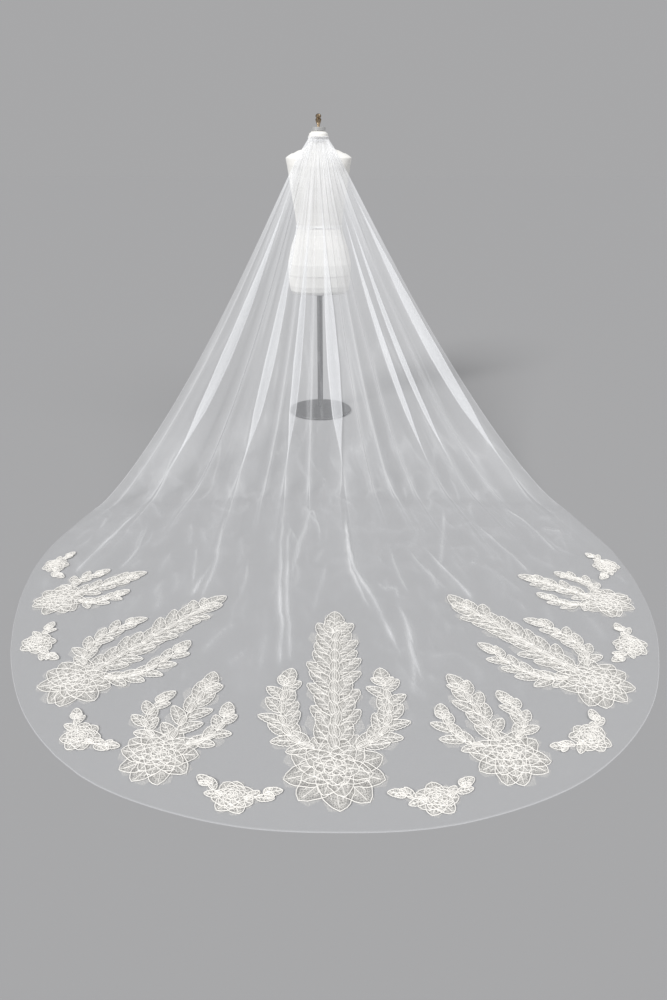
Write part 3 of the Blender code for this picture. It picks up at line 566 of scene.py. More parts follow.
def lace_tables():
    """Every spray's rosette and fronds: the same kinds on each side of the hem's middle."""
    rosettes, fronds = [], []
    for label, steps, kind, size in LACE_BORDER:
        for side, word in ((-1, "left_"), (1, "right_")) if steps else ((1, ""),):
            name = "lace_" + word + label
            inset, petals, length, width = ROSETTES[kind]
            edge, inward = hem_frame(side * steps * LACE_STEP)
            foot = edge + inward * inset * size
            lean = 0.0 if kind == "sprig" else LACE_LEAN
            towards = np.array(LACE_FACE) - foot
            up = inward * (1 - lean) + towards / np.linalg.norm(towards) * lean
            up = up / np.linalg.norm(up)
            across = np.array([up[1], -up[0]])
            bearing = math.degrees(math.atan2(up[1], up[0]))
            rosettes.append((name, foot, bearing, petals, length * size, width * size))
            for x0, y0, x1, y1, x2, y2, pairs, leaf, wide in FRONDS[kind]:
                for hand in (-1, 1) if x0 else (1,):
                    spots = [foot + (across * hand * x + up * y) * size
                             for x, y in ((x0, y0), (x1, y1), (x2, y2))]
                    fronds.append((name, *spots, pairs, leaf * size, wide * size))
    return rosettes, fronds


ROSETTE_ROWS, FROND_ROWS = lace_tables()


def spray_names():
    return [row[0] for row in ROSETTE_ROWS]


def frond_spine(start, knee, tip, share):
    """A point of a frond's spine and the bearing there."""
    point = start * (1 - share) ** 2 + knee * 2 * share * (1 - share) + tip * share * share
    ahead = 2 * (1 - share) * (knee - start) + 2 * share * (tip - knee)
    return point, math.degrees(math.atan2(ahead[1], ahead[0]))


def cad_petals(spray):
    """Each rosette and leaf of a spray in the model: foot, bearing, length, width."""
    found = []
    for name, foot, bearing, _, length, _ in ROSETTE_ROWS:
        if name == spray:
            found.append((tuple(foot), bearing, 0.001, 2 * length))
    for name, start, knee, tip, pairs, length, width in FROND_ROWS:
        if name != spray:
            continue
        leaf = (length * LEAF_SHAPE[0], width * LEAF_SHAPE[1])
        for k in range(pairs):
            point, bearing = frond_spine(start, knee, tip, (k + 0.35) / pairs)
            for turn, size in LEAF_TURNS:
                found.append((tuple(point), bearing + turn, leaf[0] * size, leaf[1]))
        _, bearing = frond_spine(start, knee, tip, 1.0)
        found.append((tuple(tip), bearing, *leaf))
    return found


def neck_keys(places):
    """The lines that the neck's curve runs through, from the heading to just below the release."""
    return [neck_line(places, k) for k in range(len(NECK_ROWS))] + [
        tent_line(places, TENT_SHARES[0]), tent_line(places, TENT_SHARES[1])]


def veil_line(part, share, places):
    """A line across the veil on one of its parts."""
    if part == "neck":
        return smooth_blend(neck_keys(places), share)
    if part == "tent":
        return tent_line(places, share)
    return floor_line(places, share)


def grid_faces(rows, columns, flipped=False):
    """The faces of a sheet of points, row after row."""
    index = np.arange(rows * columns).reshape(rows, columns)
    corners = [index[:-1, :-1], index[1:, :-1], index[1:, 1:], index[:-1, 1:]]
    if flipped:
        corners = [corners[0], corners[3], corners[2], corners[1]]
    return np.stack(corners, axis=-1).reshape(-1, 4)


def level_values():
    """For each level of the model: turn, pinch and gather of its folds, and how even its columns lie."""
    spare = 6
    return (NECK_TURN + TENT_TURN + (0.0,) * spare, (1.0,) * 5 + TENT_PINCH + (1.0,) * spare,
            NECK_GATHER + (0.0006,) + (0.0,) * 15, NECK_EVEN + (0.0,) * 16)


def veil_grid():
    """Fine points of the veil, and at each how densely the net lies there."""
    columns = column_table()
    places = np.array([row[0] for row in columns])
    fine, thin = [places[0]], [1.0]
    for low in range(len(places) - 1):
        a, b = places[low], places[low + 1]
        steps = max(FEWEST_STEPS, int(round((b - a) / COLUMN_STEP)))
        same = columns[low][1] == columns[low + 1][1] >= 0
        turned = same and {columns[low][2], columns[low + 1][2]} == {2, 3}
        for k in range(steps):
            t = (k + 1) / steps
            fine.append(a + (b - a) * t)
            thin.append(BAND_MIDDLE + BAND_EDGE * abs(2 * t - 1) ** 10 if turned else 1.0)
    for near_edge in (EDGE_HAIR, 1 - EDGE_HAIR):
        spot = int(np.searchsorted(fine, near_edge))
        fine.insert(spot, near_edge)
        thin.insert(spot, 1.0)
    fine, thin = np.array(fine), np.array(thin)
    boxes = lace_boxes()
    contact = contact_line(places)
    aside, behind = FLAT_ROUND_LACE
    count = len(columns)
    wave = np.array([(0.0, 1.0, 0.0, -1.0)[j % 4] * (0.85 + 0.3 * ((j * 7) % 5) / 5) for j in range(count)])
    edge_fade = np.minimum(1.0, 12 * np.minimum(places, 1 - places))
    rows = level_rows()
    spots, lifts, layers, widths, across = [], [], [], [], []
    for part, share, level in rows:
        turn, pinch, gather, even = (
            float(np.interp(level, np.arange(21), table)) for table in level_values())
        plain = veil_line(part, share, places)
        width = np.linalg.norm(np.diff(plain, axis=0), axis=1).sum()
        shift, lift, dense = np.zeros(count), np.zeros(count), np.zeros(count)
        for j, (place, number, point) in enumerate(columns):
            if number < 0:
                continue
            _, _, depth, run, _ = FOLDS[number]
            here = turn if depth >= PRESSED_DEPTH else min(SHALLOW_TURN, turn)
            full = depth * min(1.0, max(NARROWEST, width))
            if part == "neck":
                full *= turn / TENT_TURN[0]
            if part == "tent":
                full *= 1.0 - FOOT_LOSS * max(0.0, share - FOOT_START) / (1.0 - FOOT_START)
                if here > PRESSED_TURN:
                    full = max(full, LEAST_PRESSED)
            if part == "floor":
                fade = max(0.0, 1.0 - np.linalg.norm(plain[j][:2] - contact[j]) / run)
                here = FLOOR_TURN * fade
                full = depth * FLOOR_DEPTH * fade
                dense[j] = FLOOR_DENSE * fade * FOLD_DENSITY[point]
            else:
                full_here = min(1.0, turn / TENT_TURN[0])
                if part == "tent":
                    full_here = min(1.0, TENT_DENSE[0] + TENT_DENSE[1] * full_here)
                dense[j] = full_here * FOLD_DENSITY[point]
            shift[j], depth_share = fold_point(number, point, here, pinch)
            lift[j] = full * depth_share
        spread = places * (1 - even) + even * np.arange(count) / (count - 1)
        line_points = veil_line(part, share, spread + shift)
        if part == "floor":
            for x0, x1, y0, y1 in boxes:
                flat = ((line_points[:, 0] > x0 - aside) & (line_points[:, 0] < x1 + aside)
                        & (line_points[:, 1] > y0 - aside) & (line_points[:, 1] < y1 + behind))
                line_points[flat] = plain[flat]
                lift[flat] = 0.0
        lift += gather * wave * edge_fade
        spots.append(upsample(line_points, places, fine))
        lifts.append(upsample(lift, places, fine))
        layers.append(upsample(dense, places, fine) * thin)
        widths.append(width)
        across.append(upsample(spread + shift, places, fine))
    base = np.array(spots)
    flat_lines = np.array([veil_line(part, share, fine) for part, share, _ in rows])
    sideways = np.gradient(flat_lines, axis=1)
    down = np.gradient(flat_lines, axis=0)
    normal = np.cross(down, sideways)
    normal /= np.maximum(np.linalg.norm(normal, axis=2, keepdims=True), 1e-9)
    base = soften(base, 2, 1)
    upper = 5 * NECK_STEPS + 3 * TENT_STEPS
    base[:upper] = soften(base[:upper], RELEASE_ROUNDS, 0)
    lift = soften(np.array(lifts), 2, 1)
    dense = np.array(layers)
    return rows, fine, base, normal, lift, dense, np.array(widths), np.array(across)


def crease_field(x, y, path, half, steps, seed):
    """How near each point is to a curved path, from 0 to 1 on it, uneven and fading to its ends."""
    path = smooth_line(path, steps)
    lengths = np.hypot(*np.diff(path, axis=0).T)
    total, before = lengths.sum(), 0.0
    field = np.zeros_like(x)
    near = ((x > path[:, 0].min() - 0.05) & (x < path[:, 0].max() + 0.05)
            & (y > path[:, 1].min() - 0.05) & (y < path[:, 1].max() + 0.05))
    px, py = x[near], y[near]
    best = np.zeros_like(px)
    for start, end, length in zip(path[:-1], path[1:], lengths):
        ahead = (end - start) / length
        along = (px - start[0]) * ahead[0] + (py - start[1]) * ahead[1]
        aside = (px - start[0]) * -ahead[1] + (py - start[1]) * ahead[0]
        over = np.maximum(np.maximum(-along, along - length), 0.0)
        run = np.clip((before + np.clip(along, 0, length)) / total, 0, 1)
        spread = 2 * (half * (0.55 + 0.75 * np.sin(math.pi * run))) ** 2
        off = aside ** 2 + over ** 2
        crest = 0.62 * np.exp(-off / spread) + 0.38 * np.exp(-off / (10 * spread))
        uneven = 0.72 + 0.38 * lattice_noise(run * total * 9, run * 0 + 0.5, seed)
        best = np.maximum(best, crest * uneven * np.clip(np.minimum(run, 1 - run) * 5, 0, 1))
        before += length
    field[near] = best
    return field


def small_creases():
    """Short loose creases strewn on the floor part, most of them along the run of the cloth."""
    found = []
    random = np.random.default_rng(23)
    for _ in range(SMALL_CREASES):
        place = random.uniform(0.04, 0.96)
        share = random.uniform(-0.10, 0.72)
        start = floor_line(np.array([place]), max(share, 0.0))[0, :2]
        if share < 0:
            start = start + np.array([0.0, 0.12 * random.uniform(0, 1)])
        ahead = floor_line(np.array([place]), max(share, 0.0) + 0.05)[0, :2] - start
        swing = random.choice([0.0, 0.0, 0.4, -0.4, 1.1]) * random.uniform(0.3, 1)
        turn = math.atan2(ahead[1], ahead[0]) + swing
        length = random.uniform(0.05, 0.26)
        bow = random.uniform(-0.35, 0.35)
        path = [start]
        for k in range(3):
            turn_here = turn + bow * (k - 1)
            path.append(path[-1] + np.array([math.cos(turn_here), math.sin(turn_here)]) * length / 3)
        strength = random.uniform(0.25, 1.0) ** 1.5
        found.append((0.0030 + 0.004 * random.uniform(), 0.0032 * strength, 0.19 * strength, path))
    return found


def lace_clear(x, y):
    """From 0 under and close to the lace to 1 well clear of it."""
    clear = np.ones_like(x)
    for name in spray_names():
        for foot, bearing, length, width in cad_petals(name):
            along = way(bearing)
            run = np.clip((x - foot[0]) * along[0] + (y - foot[1]) * along[1], 0, length)
            gap = np.hypot(x - foot[0] - along[0] * run, y - foot[1] - along[1] * run) - width / 2
            clear = np.minimum(clear, np.clip((gap - 0.004) / 0.035, 0, 1))
    return clear


def veil_detail(rows, base, lift, dense, widths, across):
    """Adds the soft drape, the long creases and the creased floor to the plain folds."""
    level = np.array([row[2] for row in rows])[:, None] + np.zeros_like(across)
    u = across
    x, y = base[..., 0], base[..., 1]
    clear = np.where(level > 13.5, lace_clear(x, y), 1.0)
    soft = np.interp(level, *SOFT_DRAPE)
    drape = lattice_noise(u * 22 + 3, level * 0.35, 5) + 0.5 * lattice_noise(u * 47, level * 0.5, 6)
    wander = 0.6 * lattice_noise(u * 5, level * 0.8, 12)
    streak = ridges(u * 70 + wander, level * 0.22 + 9, 21, 9.0)
    streak_here = np.interp(level, *STREAKS)
    long = ridges(u * 24 + wander + 4, level * 0.40, 31, 14.0)
    long_here = np.interp(level, *LONG_CREASES)
    below_neck = np.interp(level, (3.5, 6.5), (0, 1)) * (level < CONTACT_ROW)
    lift = lift + soft * drape + STREAK_HEIGHT * streak_here * streak * below_neck
    lift = lift + LONG_HEIGHT * long_here * long * (level > 5) * clear
    gathered = np.clip(SHEET_COVER / np.maximum(widths, 0.24) ** 0.8, 0.0, 1.4)[:, None]
    thinned = np.interp(level, *NET_THINNED)
    laid = np.interp(level, (12.0, 14.5), (0.0, FLOOR_COVER))
    cloth = 1.0 - np.exp(-np.maximum(gathered * thinned, laid))
    lines = STREAK_COVER * streak_here * streak * (0.35 + cloth) + LONG_COVER * long_here * long
    on_floor = level > 12.5
    rumpled = np.interp(level, *RUMPLES) * clear
    patches = np.clip(0.55 + 0.8 * lattice_noise(2.3 * x, 2.3 * y, 73), 0, 1)
    rumple = ridges(8 * x + wander, 5.5 * y + 3, 71, 8.0) + 0.6 * ridges(15 * x, 13 * y, 75, 9.0)
    rumple = rumple * rumpled * patches
    lines = lines + RUMPLE_COVER * rumple
    lift = lift + RUMPLE_HEIGHT * rumple
    main = [(*row[:3], [floor_spot(*spot) for spot in row[3]]) for row in CREASES]
    wavy_x = x + 0.006 * lattice_noise(7 * x, 7 * y, 51) + 0.002 * lattice_noise(25 * x, 25 * y, 52)
    wavy_y = y + 0.006 * lattice_noise(7 * x, 7 * y, 53)
    for number, (half, high, cover, path) in enumerate(main + small_creases()):
        steps = 4 if number < len(main) else 2
        field = crease_field(wavy_x, wavy_y, path, half, steps, 60 + number)
        field = np.where(on_floor, field, 0.0) * clear
        lift = lift + high * field
        lines = np.maximum(lines, lines * 0.4 + cover * field)
    density = cloth * (1.0 + 0.25 * drape * (level < CONTACT_ROW)) + lines
    density = density * (1 - dense) + np.maximum(density, FOLD_COVER) * dense
    at_end = (np.arange(len(rows)) >= len(rows) - 1)[:, None]
    hair = at_end | (np.arange(u.shape[1]) % (u.shape[1] - 1) == 0)
    density = np.where(hair & (level > 5), np.maximum(density, HAIR_COVER), density)
    return lift, np.clip(density, BAREST_NET, FULLEST_NET)


def make_veil():
    rows, fine, base, normal, lift, dense, widths, across = veil_grid()
    lift, density = veil_detail(rows, base, lift, dense, widths, across)
    points = base + normal * lift[..., None]
    behind = points[..., 2] > FORM_SECTIONS[0][0]
    for k in np.unique(np.nonzero(behind)[0]):
        spots = points[k]
        back = np.array([float(form_back(x, z)) if z > FORM_SECTIONS[0][0] else 0.0
                         for x, z in zip(spots[:, 0], spots[:, 2])])
        covered = back > 0.0
        spots[:, 1] = np.where(covered, np.minimum(spots[:, 1], -(back + OFF_COVER)), spots[:, 1])
    points[..., 2] = np.maximum(points[..., 2] + VEIL_MIDDLE * (points[..., 2] < 0.2), VEIL_MIDDLE)
    count_rows, count_columns, _ = points.shape
    faces = grid_faces(count_rows, count_columns)
    u = np.tile(fine, (count_rows, 1))
    v = np.tile(np.linspace(0, 1, count_rows)[:, None], (1, count_columns))
    uvs = np.stack([u.ravel(), v.ravel()], axis=1)
    return new_piece("veil_net", points.reshape(-1, 3), faces, marks={"net_cover": density.ravel()}, uvs=uvs)


# Lace
class Pot:
    """Collects the points and faces of one piece, with one number a point for its material."""

    def __init__(self):
        self.points, self.faces, self.marks = [], [], []

    def add(self, points, faces, marks):
        start = len(self.points)
        self.points += [tuple(map(float, p)) for p in points]
        self.faces += [tuple(start + k for k in face) for face in faces]
        self.marks += list(marks)

    def strip(self, lines, marks):
        """A sheet through lines of equal count, with one number a line."""
        count = len(lines[0])
        points = [point for line in lines for point in line]
        faces = grid_faces(len(lines), count, flipped=True).tolist()
        self.add(points, faces, [mark for mark in marks for _ in range(count)])

    def cord(self, path, half, height):
        """A low rounded cord lying along a path of points."""
        path = np.asarray(path)
        ahead = np.gradient(path, axis=0)
        side = np.stack([-ahead[:, 1], ahead[:, 0], np.zeros(len(path))], axis=1)
        side /= np.maximum(np.linalg.norm(side, axis=1, keepdims=True), 1e-9)
        top = path + np.array([0, 0, height])
        points = np.concatenate([path - side * half, top, path + side * half])
        n = len(path)
        faces = []
        for k in range(n - 1):
            faces.append((k, k + 1, n + k + 1, n + k))
            faces.append((n + k, n + k + 1, 2 * n + k + 1, 2 * n + k))
        self.add(points, faces, [1.0] * (3 * n))


def petal_shape(foot, bearing, length, width, kind, bend, level, swing):
    """Midline, left edge and right edge of one petal, as rows of points."""
    steps = {"leaf": 19, "petal": 13}[kind]
    along = way(bearing)
    side = np.array([-along[1], along[0]])
    share = np.linspace(0.0, 1.0, steps)
    swell = np.sin(math.pi * share ** 0.85) ** 0.60
    swell[0], swell[-1] = 0.10, 0.0
    middle = (np.array(foot) + along * (share * length)[:, None]
              + side * (bend * length * share ** 2)[:, None])
    edges = []
    for sign, shift in ((1.0, swing), (-1.0, swing + 0.45)):
        frill = 1.0 + 0.05 * np.sin(share * 20 + shift * 6)
        if kind == "leaf":
            frill = 0.84 + 0.16 * np.abs(np.sin(math.pi * (share * PICOTS + shift)))
        reach = sign * (swell * frill * width / 2)[:, None]
        edges.append(middle + side * reach)
    height = level + 0.0016 * np.sin(math.pi * share)

    def lifted(line, more):
        return np.column_stack([line, height + more])

    return lifted(middle, 0.0004), lifted(edges[0], 0.0006), lifted(edges[1], 0.0006), share


def add_petal(fill, cords, foot, bearing, length, width, level, kind):
    bend = float(NUMBERS.uniform(-0.22, 0.22))
    swing = float(NUMBERS.uniform(0, 1))
    middle, left, right, share = petal_shape(foot, bearing, length, width, kind, bend, level, swing)
    fill.strip([left, (left + middle) / 2, middle, (middle + right) / 2, right], PETAL_MARKS)
    edge = np.concatenate([left, right[::-1][1:]])
    cords.cord(edge, *EDGE_CORD)
    cords.cord(middle[:-1], *RIB_CORD)
    if kind == "leaf":
        for k in range(3, len(share) - 5, 4):
            for rim in (left, right):
                start, end = middle[k], rim[k + 3] * 0.78 + middle[k + 3] * 0.22
                bowed = (start + end) / 2 + (middle[k + 3] - middle[k]) * 0.08
                cords.cord(np.array([start, bowed, end]), *LEAF_VEIN)
    else:
        for offset in (-0.42, 0.42):
            rim = left if offset > 0 else right
            line = middle * (1 - abs(offset)) + rim * abs(offset)
            cords.cord(line[1:-3], *PETAL_VEIN)


def add_curl(cords, centre, radius, level):
    """A small curl of cord in a rosette's heart."""
    turns = np.linspace(0, 1.35 * 2 * math.pi, 14)
    reach = radius * (1 - 0.62 * turns / turns[-1])
    line = np.column_stack([
        centre[0] + reach * np.cos(turns), centre[1] + reach * np.sin(turns), np.full(len(turns), level)])
    cords.cord(line, *CURL_CORD)


def add_rosette(fill, cords, row, level):
    """A round flower: broad petals all round, shorter ones between, then rings towards its heart."""
    _, foot, bearing, count, length, width = row
    rings = [(count + extra, *ring) for extra, *ring in ROSETTE_RINGS] + [HEART_RING]
    for many, size, wide, shift, more in rings:
        for k in range(many):
            reach = length * size * NUMBERS.uniform(0.95, 1.03)
            add_petal(fill, cords, foot, bearing + 360 * (k + shift) / many, reach, width * wide,
                      level + more + 0.0005 * (k % 2), "petal")
    add_curl(cords, foot, 0.07 * length, level + 0.0072)


def add_frond(fill, cords, row, level):
    """One frond: pointed leaves in pairs up its spine, with a row of small ones down the middle."""
    _, start, knee, tip, _, length, width = row
    spine = np.array([frond_spine(start, knee, tip, share)[0] for share in np.linspace(0, 1, 15)])
    run = np.hypot(*np.diff(spine, axis=0).T).sum()
    many = max(1, int(round(run / LEAF_SPACING)))
    stations = np.linspace(0, 1, len(BODY_SWELL))
    for k in range(many):
        for number, (turn, size) in enumerate(LEAF_TURNS):
            share = (k + 0.15 + 0.45 * number) / many
            point, bearing = frond_spine(start, knee, tip, share)
            swell = float(np.interp(share, stations, BODY_SWELL))
            reach = (0.70 + 0.32 * swell) * NUMBERS.uniform(0.90, 1.08)
            lean = turn * NUMBERS.uniform(0.75, 1.0)
            add_petal(fill, cords, point, bearing + lean, length * size * LEAF_SHAPE[0] * reach,
                      width * 0.46, level + 0.0006 * ((k + number) % 2), "leaf")
    for k in range(many):
        point, bearing = frond_spine(start, knee, tip, (k + 0.05) / many)
        add_petal(fill, cords, point, bearing + NUMBERS.uniform(-8, 8), length * 0.62, width * 0.24,
                  level + 0.0022, "petal")
    cords.cord(np.column_stack([spine, np.full(len(spine), level + 0.0030)]), *SPINE_CORD)
    _, bearing = frond_spine(start, knee, tip, 1.0)
    for turn, size, wide, more in FROND_TIP:
        add_petal(fill, cords, tip, bearing + turn, length * size, width * wide, level + more, "leaf")


def make_ground(name):
    """The spray's net ground: the upper faces of its solid, joined and laid down as one sheet."""
    solid = bpy.data.objects[name]
    index, points, faces = {}, [], []
    for face in solid.data.polygons:
        if face.normal.z <= 0.5:
            continue
        corners = []
        for corner in face.vertices:
            spot = solid.matrix_world @ solid.data.vertices[corner].co
            key = (round(spot.x, GROUND_JOIN), round(spot.y, GROUND_JOIN))
            if key not in index:
                index[key] = len(points)
                points.append((spot.x, spot.y, GROUND_FLOOR))
            corners.append(index[key])
        if len(set(corners)) == len(corners):
            faces.append(tuple(corners))
    return new_piece(name + "_ground", points, faces)


def make_spray(name):
    """Net ground, petals and cords of one spray."""
    fill, cords = Pot(), Pot()
    for row in ROSETTE_ROWS:
        if row[0] == name:
            add_rosette(fill, cords, row, LACE_FLOOR)
    for row in FROND_ROWS:
        if row[0] == name:
            add_frond(fill, cords, row, LACE_FLOOR)
    petals = new_piece(name + "_petals", fill.points, fill.faces, marks={"heart": fill.marks})
    cord = new_piece(name + "_cords", cords.points, cords.faces)
    return make_ground(name), petals, cord


# Materials
class Look:
    """A node material, with the few nodes that the materials here are made of."""

    def __init__(self, name, color, roughness, **sockets):
        self.material = bpy.data.materials.new(name)
        self.material.use_nodes = True
        self.nodes = self.material.node_tree.nodes
        self.links = self.material.node_tree.links
        self.shader = self.nodes["Principled BSDF"]
        self.shader.inputs["Base Color"].default_value = (*color, 1.0)
        self.shader.inputs["Roughness"].default_value = roughness
        for title, value in sockets.items():
            self.shader.inputs[title.replace("_", " ")].default_value = value

    def node(self, kind, feeds, **settings):
        """A node with its settings, then its links: pairs of an input and what feeds it."""
        node = self.nodes.new(kind)
        for title, value in settings.items():
            if title.startswith("in_"):
                node.inputs[title[3:].replace("_", " ")].default_value = value
            else:
                setattr(node, title, value)
        for socket, value in feeds:
            self.links.new(value, node.inputs[socket])
        return node

    def place(self):
        return self.node("ShaderNodeTexCoord", ()).outputs["Object"]

    def mark(self, title):
        """The number that the mesh holds at each point."""
        return self.node("ShaderNodeAttribute", (), attribute_name=title).outputs["Fac"]

    def noise(self, scale, **settings):
        feeds = [("Vector", self.place())]
        return self.node("ShaderNodeTexNoise", feeds, in_Scale=scale, **settings).outputs["Fac"]

    def net(self, scale):
        """The distance to the nearest thread of a fine net."""
        feeds = [("Vector", self.place())]
        settings = {"feature": "DISTANCE_TO_EDGE", "in_Scale": scale}
        return self.node("ShaderNodeTexVoronoi", feeds, **settings).outputs["Distance"]

    def ramp(self, value, low, high, at_low, at_high):
        """A straight ramp of a value, held at its ends."""
        node = self.node("ShaderNodeMapRange", [("Value", value)])
        for title, number in (("From Min", low), ("From Max", high), ("To Min", at_low), ("To Max", at_high)):
            node.inputs[title].default_value = number
        return node.outputs["Result"]

    def joined(self, operation, first, second):
        """Two values multiplied or compared, held from 0 to 1."""
        feeds = [(0, first), (1, second)]
        return self.node("ShaderNodeMath", feeds, operation=operation, use_clamp=True).outputs[0]

    def feed(self, title, value):
        self.links.new(value, self.shader.inputs[title])

    def paint(self, factor, first, second):
        """Sets the base colour between two colours."""
        mix = self.node("ShaderNodeMix", [(0, factor)], data_type="RGBA")
        mix.inputs[6].default_value = (*first, 1.0)
        mix.inputs[7].default_value = (*second, 1.0)
        self.feed("Base Color", mix.outputs[2])

    def bump(self, height, distance, strength):
        bump = self.node("ShaderNodeBump", [("Height", height)], in_Distance=distance, in_Strength=strength)
        self.feed("Normal", bump.outputs["Normal"])


def tulle_material():
    look = Look("tulle_net", (0.93, 0.94, 0.955), 0.62, Sheen_Weight=0.25)
    density = look.mark("net_cover")
    threads = look.ramp(look.net(TULLE_CELLS), 0.0, 0.12, 1.35, 0.80)
    look.feed("Alpha", look.joined("MULTIPLY", density, threads))
    look.paint(density, (0.90, 0.915, 0.94), (0.96, 0.965, 0.975))
    return look.material


def lace_ground_material():
    look = Look("lace_ground", (0.90, 0.88, 0.84), 0.75, Sheen_Weight=0.15)
    heart = look.mark("heart")
    holes = look.ramp(look.net(LACE_CELLS), 0.05, 0.22, 1.0, 0.45)
    netted = look.joined("MULTIPLY", holes, look.ramp(heart, 0.0, 0.75, 0.40, 0.86))
    solid = look.ramp(heart, 0.55, 0.95, 0.0, 0.74)
    look.feed("Alpha", look.joined("MAXIMUM", netted, solid))
    # Colour: darker in the middle of each net cell, which draws the net's holes as a pattern; darker towards
    # each petal's edges, beside its cords, as painted shade.
    shade = look.ramp(netted, 0.18, 0.84, 0.0, 1.0)
    look.paint(shade, (0.30, 0.29, 0.275), (0.74, 0.725, 0.69))
    look.bump(holes, 0.0006, 0.6)
    return look.material


def lace_net_material():
    look = Look("lace_net", (0.80, 0.79, 0.76), 0.75)
    cover = look.ramp(look.net(GROUND_CELLS), 0.03, 0.14, 0.60, 0.12)
    look.feed("Alpha", cover)
    look.paint(cover, (0.84, 0.83, 0.80), (0.93, 0.91, 0.88))
    return look.material


def lace_cord_material():
    look = Look("lace_cord", (0.95, 0.93, 0.89), 0.50, Sheen_Weight=0.25)
    twist = look.noise(CORD_TWIST)
    look.paint(twist, (0.86, 0.83, 0.78), (1.0, 0.985, 0.95))
    look.bump(twist, 0.0004, 0.5)
    return look.material


def cloth_material(name, light, dark, scale):
    look = Look(name, light, 0.85, Sheen_Weight=0.2)
    weave = look.noise(scale)
    worn = look.joined("MULTIPLY", weave, look.noise(WORN_PATCHES))
    look.paint(look.ramp(worn, 0.12, 0.40, 0.0, 1.0), dark, light)
    look.bump(weave, 0.0004, 0.4)
    return look.material


def hard_material(name, light, dark, roughness, metallic, scale):
    look = Look(name, light, roughness, Metallic=metallic)
    patches = look.noise(scale, in_Detail=4.0)
    look.paint(patches, dark, light)
    rough = look.ramp(patches, 0.0, 1.0, max(roughness - 0.08, 0.05), roughness + 0.10)
    look.feed("Roughness", rough)
    look.bump(patches, 0.0002, 0.5)
    return look.material


def dress(item, material):
    item.data.materials.clear()
    item.data.materials.append(material)


# Form
def armhole_limit(height):
    (top_x, top_z), (foot_x, foot_z) = ARMHOLE_TOP, ARMHOLE_FOOT
    share = (height - foot_z) / (top_z - foot_z)
    return foot_x + (top_x - foot_x) * share if 0.0 <= share <= 1.0 else NO_LIMIT


def section_point(half, back, front, power, turn):
    """A point of the form's section, this far round from the middle of its back."""
    across, deep = math.sin(turn), -math.cos(turn)
    return (half * math.copysign(abs(across) ** (2 / power), across),
            (back if deep < 0 else front) * math.copysign(abs(deep) ** (2 / power), deep))


def ring_faces(rings, steps):
    faces = []
    for low in range(rings - 1):
        for k in range(steps):
            after = (k + 1) % steps
            faces.append((low * steps + k, low * steps + after,
                          (low + 1) * steps + after, (low + 1) * steps + k))
    return faces


def make_form():
    steps = FORM_STEPS
    heights = np.unique(np.concatenate([np.linspace(0.700, 1.523, FORM_RINGS), column(FORM_SECTIONS, 0)]))
    tables = [column(FORM_SECTIONS, k) for k in range(4)]
    sections = np.stack([np.interp(heights, tables[0], tables[k]) for k in (1, 2, 3)], axis=1)
    sections = soften(sections, 6, 0)
    points = []
    for height, (half, back, front) in zip(heights, sections):
        power = form_power(height)
        limit = armhole_limit(height)
        for step in range(steps):
            x, y = section_point(half, back, front, power, 2 * math.pi * step / steps)
            points.append((max(-limit, min(limit, x)), y, height))
    rings = len(heights)
    faces = ring_faces(rings, steps)
    faces.append(tuple(range(steps))[::-1])
    faces.append(tuple(range((rings - 1) * steps, rings * steps)))
    return new_piece("form_cover", points, faces)


def make_heading():
    """The gathered heading: a narrow binding frilled by the gathers that it holds."""
    places = np.linspace(0.0, 1.0, HEADING_COLUMNS)
    line = neck_line(places, 0)
    away = line[:, :2] / np.linalg.norm(line[:, :2], axis=1, keepdims=True)
    wave = np.sin(2 * math.pi * HEADING_GATHERS * places + 0.8 * lattice_noise(places * 17, places, 41))
    rows = []
    for height, reach, frill in HEADING_PROFILE:
        out = reach + frill * wave
        top = 0.0016 * max(0.0, height / 0.006) * lattice_noise(places * 44, places, 42)
        rows.append(np.column_stack([line[:, :2] + away * out[:, None], line[:, 2] + height + top]))
    faces = grid_faces(len(rows), HEADING_COLUMNS, flipped=True)
    return new_piece("heading_frill", np.array(rows).reshape(-1, 3), faces)


def make_stitches():
    """The two ends of the waist tape, folded flat and stitched down at the middle of the back."""
    pot = Pot()
    for left, right in STITCHED_ENDS:
        lines = []
        for k in range(STITCH_STEPS + 1):
            x = left + (right - left) * k / STITCH_STEPS
            y = -float(form_back(x, TAPE_MIDDLE)) - STITCH_OFF
            lines.append([(x, y - off, TAPE_MIDDLE + height) for height, off in STITCH_SECTION])
        pot.strip(lines, [0.0] * len(lines))
    return new_piece("tape_ends", pot.points, pot.faces)


def make_tape():
    """The twill tape round the waist, a little raised along its two woven edges."""
    points = []
    for height, off in TAPE_PROFILE:
        half, back, front = form_section(height)
        for step in range(TAPE_STEPS):
            turn = 2 * math.pi * step / TAPE_STEPS
            points.append((*section_point(half + off, back + off, front + off, FORM_POWER, turn), height))
    return new_piece("waist_twill", points, ring_faces(len(TAPE_PROFILE), TAPE_STEPS))


# Put together
veil = make_veil()
dress(veil, tulle_material())
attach(veil, "root")
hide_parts("veil_tulle")

net, filled, corded = lace_net_material(), lace_ground_material(), lace_cord_material()
for spray in spray_names():
    ground, petals, cords = make_spray(spray)
    for item, material in ((ground, net), (petals, filled), (cords, corded)):
        dress(item, material)
        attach(item, "root")
    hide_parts(spray)

heading = make_heading()
dress(heading, cloth_material("heading_tulle", (0.985, 0.985, 0.985), (0.93, 0.93, 0.935), FINE_WEAVE))
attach(heading, "root")
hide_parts("heading_band")

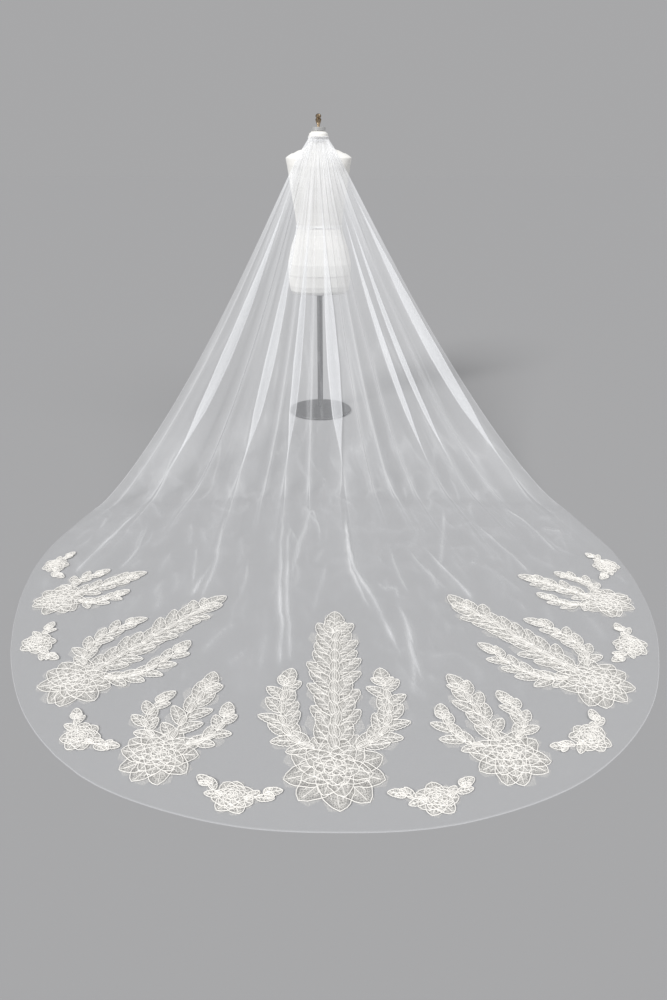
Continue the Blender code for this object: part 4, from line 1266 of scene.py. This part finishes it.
tape = make_tape()
dress(tape, cloth_material("tape_twill", (0.985, 0.98, 0.97), (0.93, 0.925, 0.91), FINE_WEAVE))
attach(tape, "root")
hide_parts("waist_tape")
ends = make_stitches()
dress(ends, hard_material("tape_thread", (1.0, 1.0, 0.99), (0.95, 0.95, 0.94), 0.45, 0.0, 400.0))
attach(ends, "root")
form = make_form()
dress(form, cloth_material("form_cotton", (0.94, 0.93, 0.90), (0.88, 0.865, 0.83), FORM_WEAVE))
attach(form, "root")
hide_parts("form_torso")

for names, *stand_look in STAND_LOOKS:
    material = hard_material(*stand_look)
    for name in names:
        dress(bpy.data.objects[name], material)

# Stage
floor_corners = ((-1, -1), (1, -1), (1, 1), (-1, 1))
floor_points = [(x * FLOOR_HALF, y * FLOOR_HALF, -FLOOR_UNDER) for x, y in floor_corners]
floor = new_piece("studio_floor", floor_points, [(0, 1, 2, 3)], smooth=False)
dress(floor, Look("studio_paper", FLOOR_COLOR, 0.9, Specular_IOR_Level=0.1).material)

world = bpy.data.worlds.new("studio")
bpy.context.scene.world = world
world.use_nodes = True
world_nodes, world_links = world.node_tree.nodes, world.node_tree.links
seen = world_nodes["Background"]
seen.inputs["Color"].default_value = (*BACKDROP, 1.0)
lighting = world_nodes.new("ShaderNodeBackground")
lighting.inputs["Color"].default_value = (*SKY_LIGHT, 1.0)
rays, mix = world_nodes.new("ShaderNodeLightPath"), world_nodes.new("ShaderNodeMixShader")
world_links.new(rays.outputs["Is Camera Ray"], mix.inputs[0])
world_links.new(lighting.outputs[0], mix.inputs[1])
world_links.new(seen.outputs[0], mix.inputs[2])
world_links.new(mix.outputs[0], world_nodes["World Output"].inputs["Surface"])

for name, energy, angle, tilt, turn in SUNS:
    light = bpy.data.lights.new(name, "SUN")
    light.energy = energy
    light.angle = math.radians(angle)
    sun = bpy.data.objects.new(name, light)
    sun.rotation_euler = (math.radians(tilt), 0.0, math.radians(turn))
    bpy.context.scene.collection.objects.link(sun)

camera_data = bpy.data.cameras.new("camera")
camera_data.lens = CAMERA_LENS
camera_data.sensor_width = CAMERA_SENSOR
camera = bpy.data.objects.new("camera", camera_data)
camera.location = CAMERA_AT
camera.rotation_euler = (math.radians(90 - CAMERA_DOWN), 0.0, math.radians(CAMERA_TURN))
bpy.context.scene.collection.objects.link(camera)
bpy.context.scene.camera = camera
bpy.context.scene.view_settings.view_transform = "Standard"
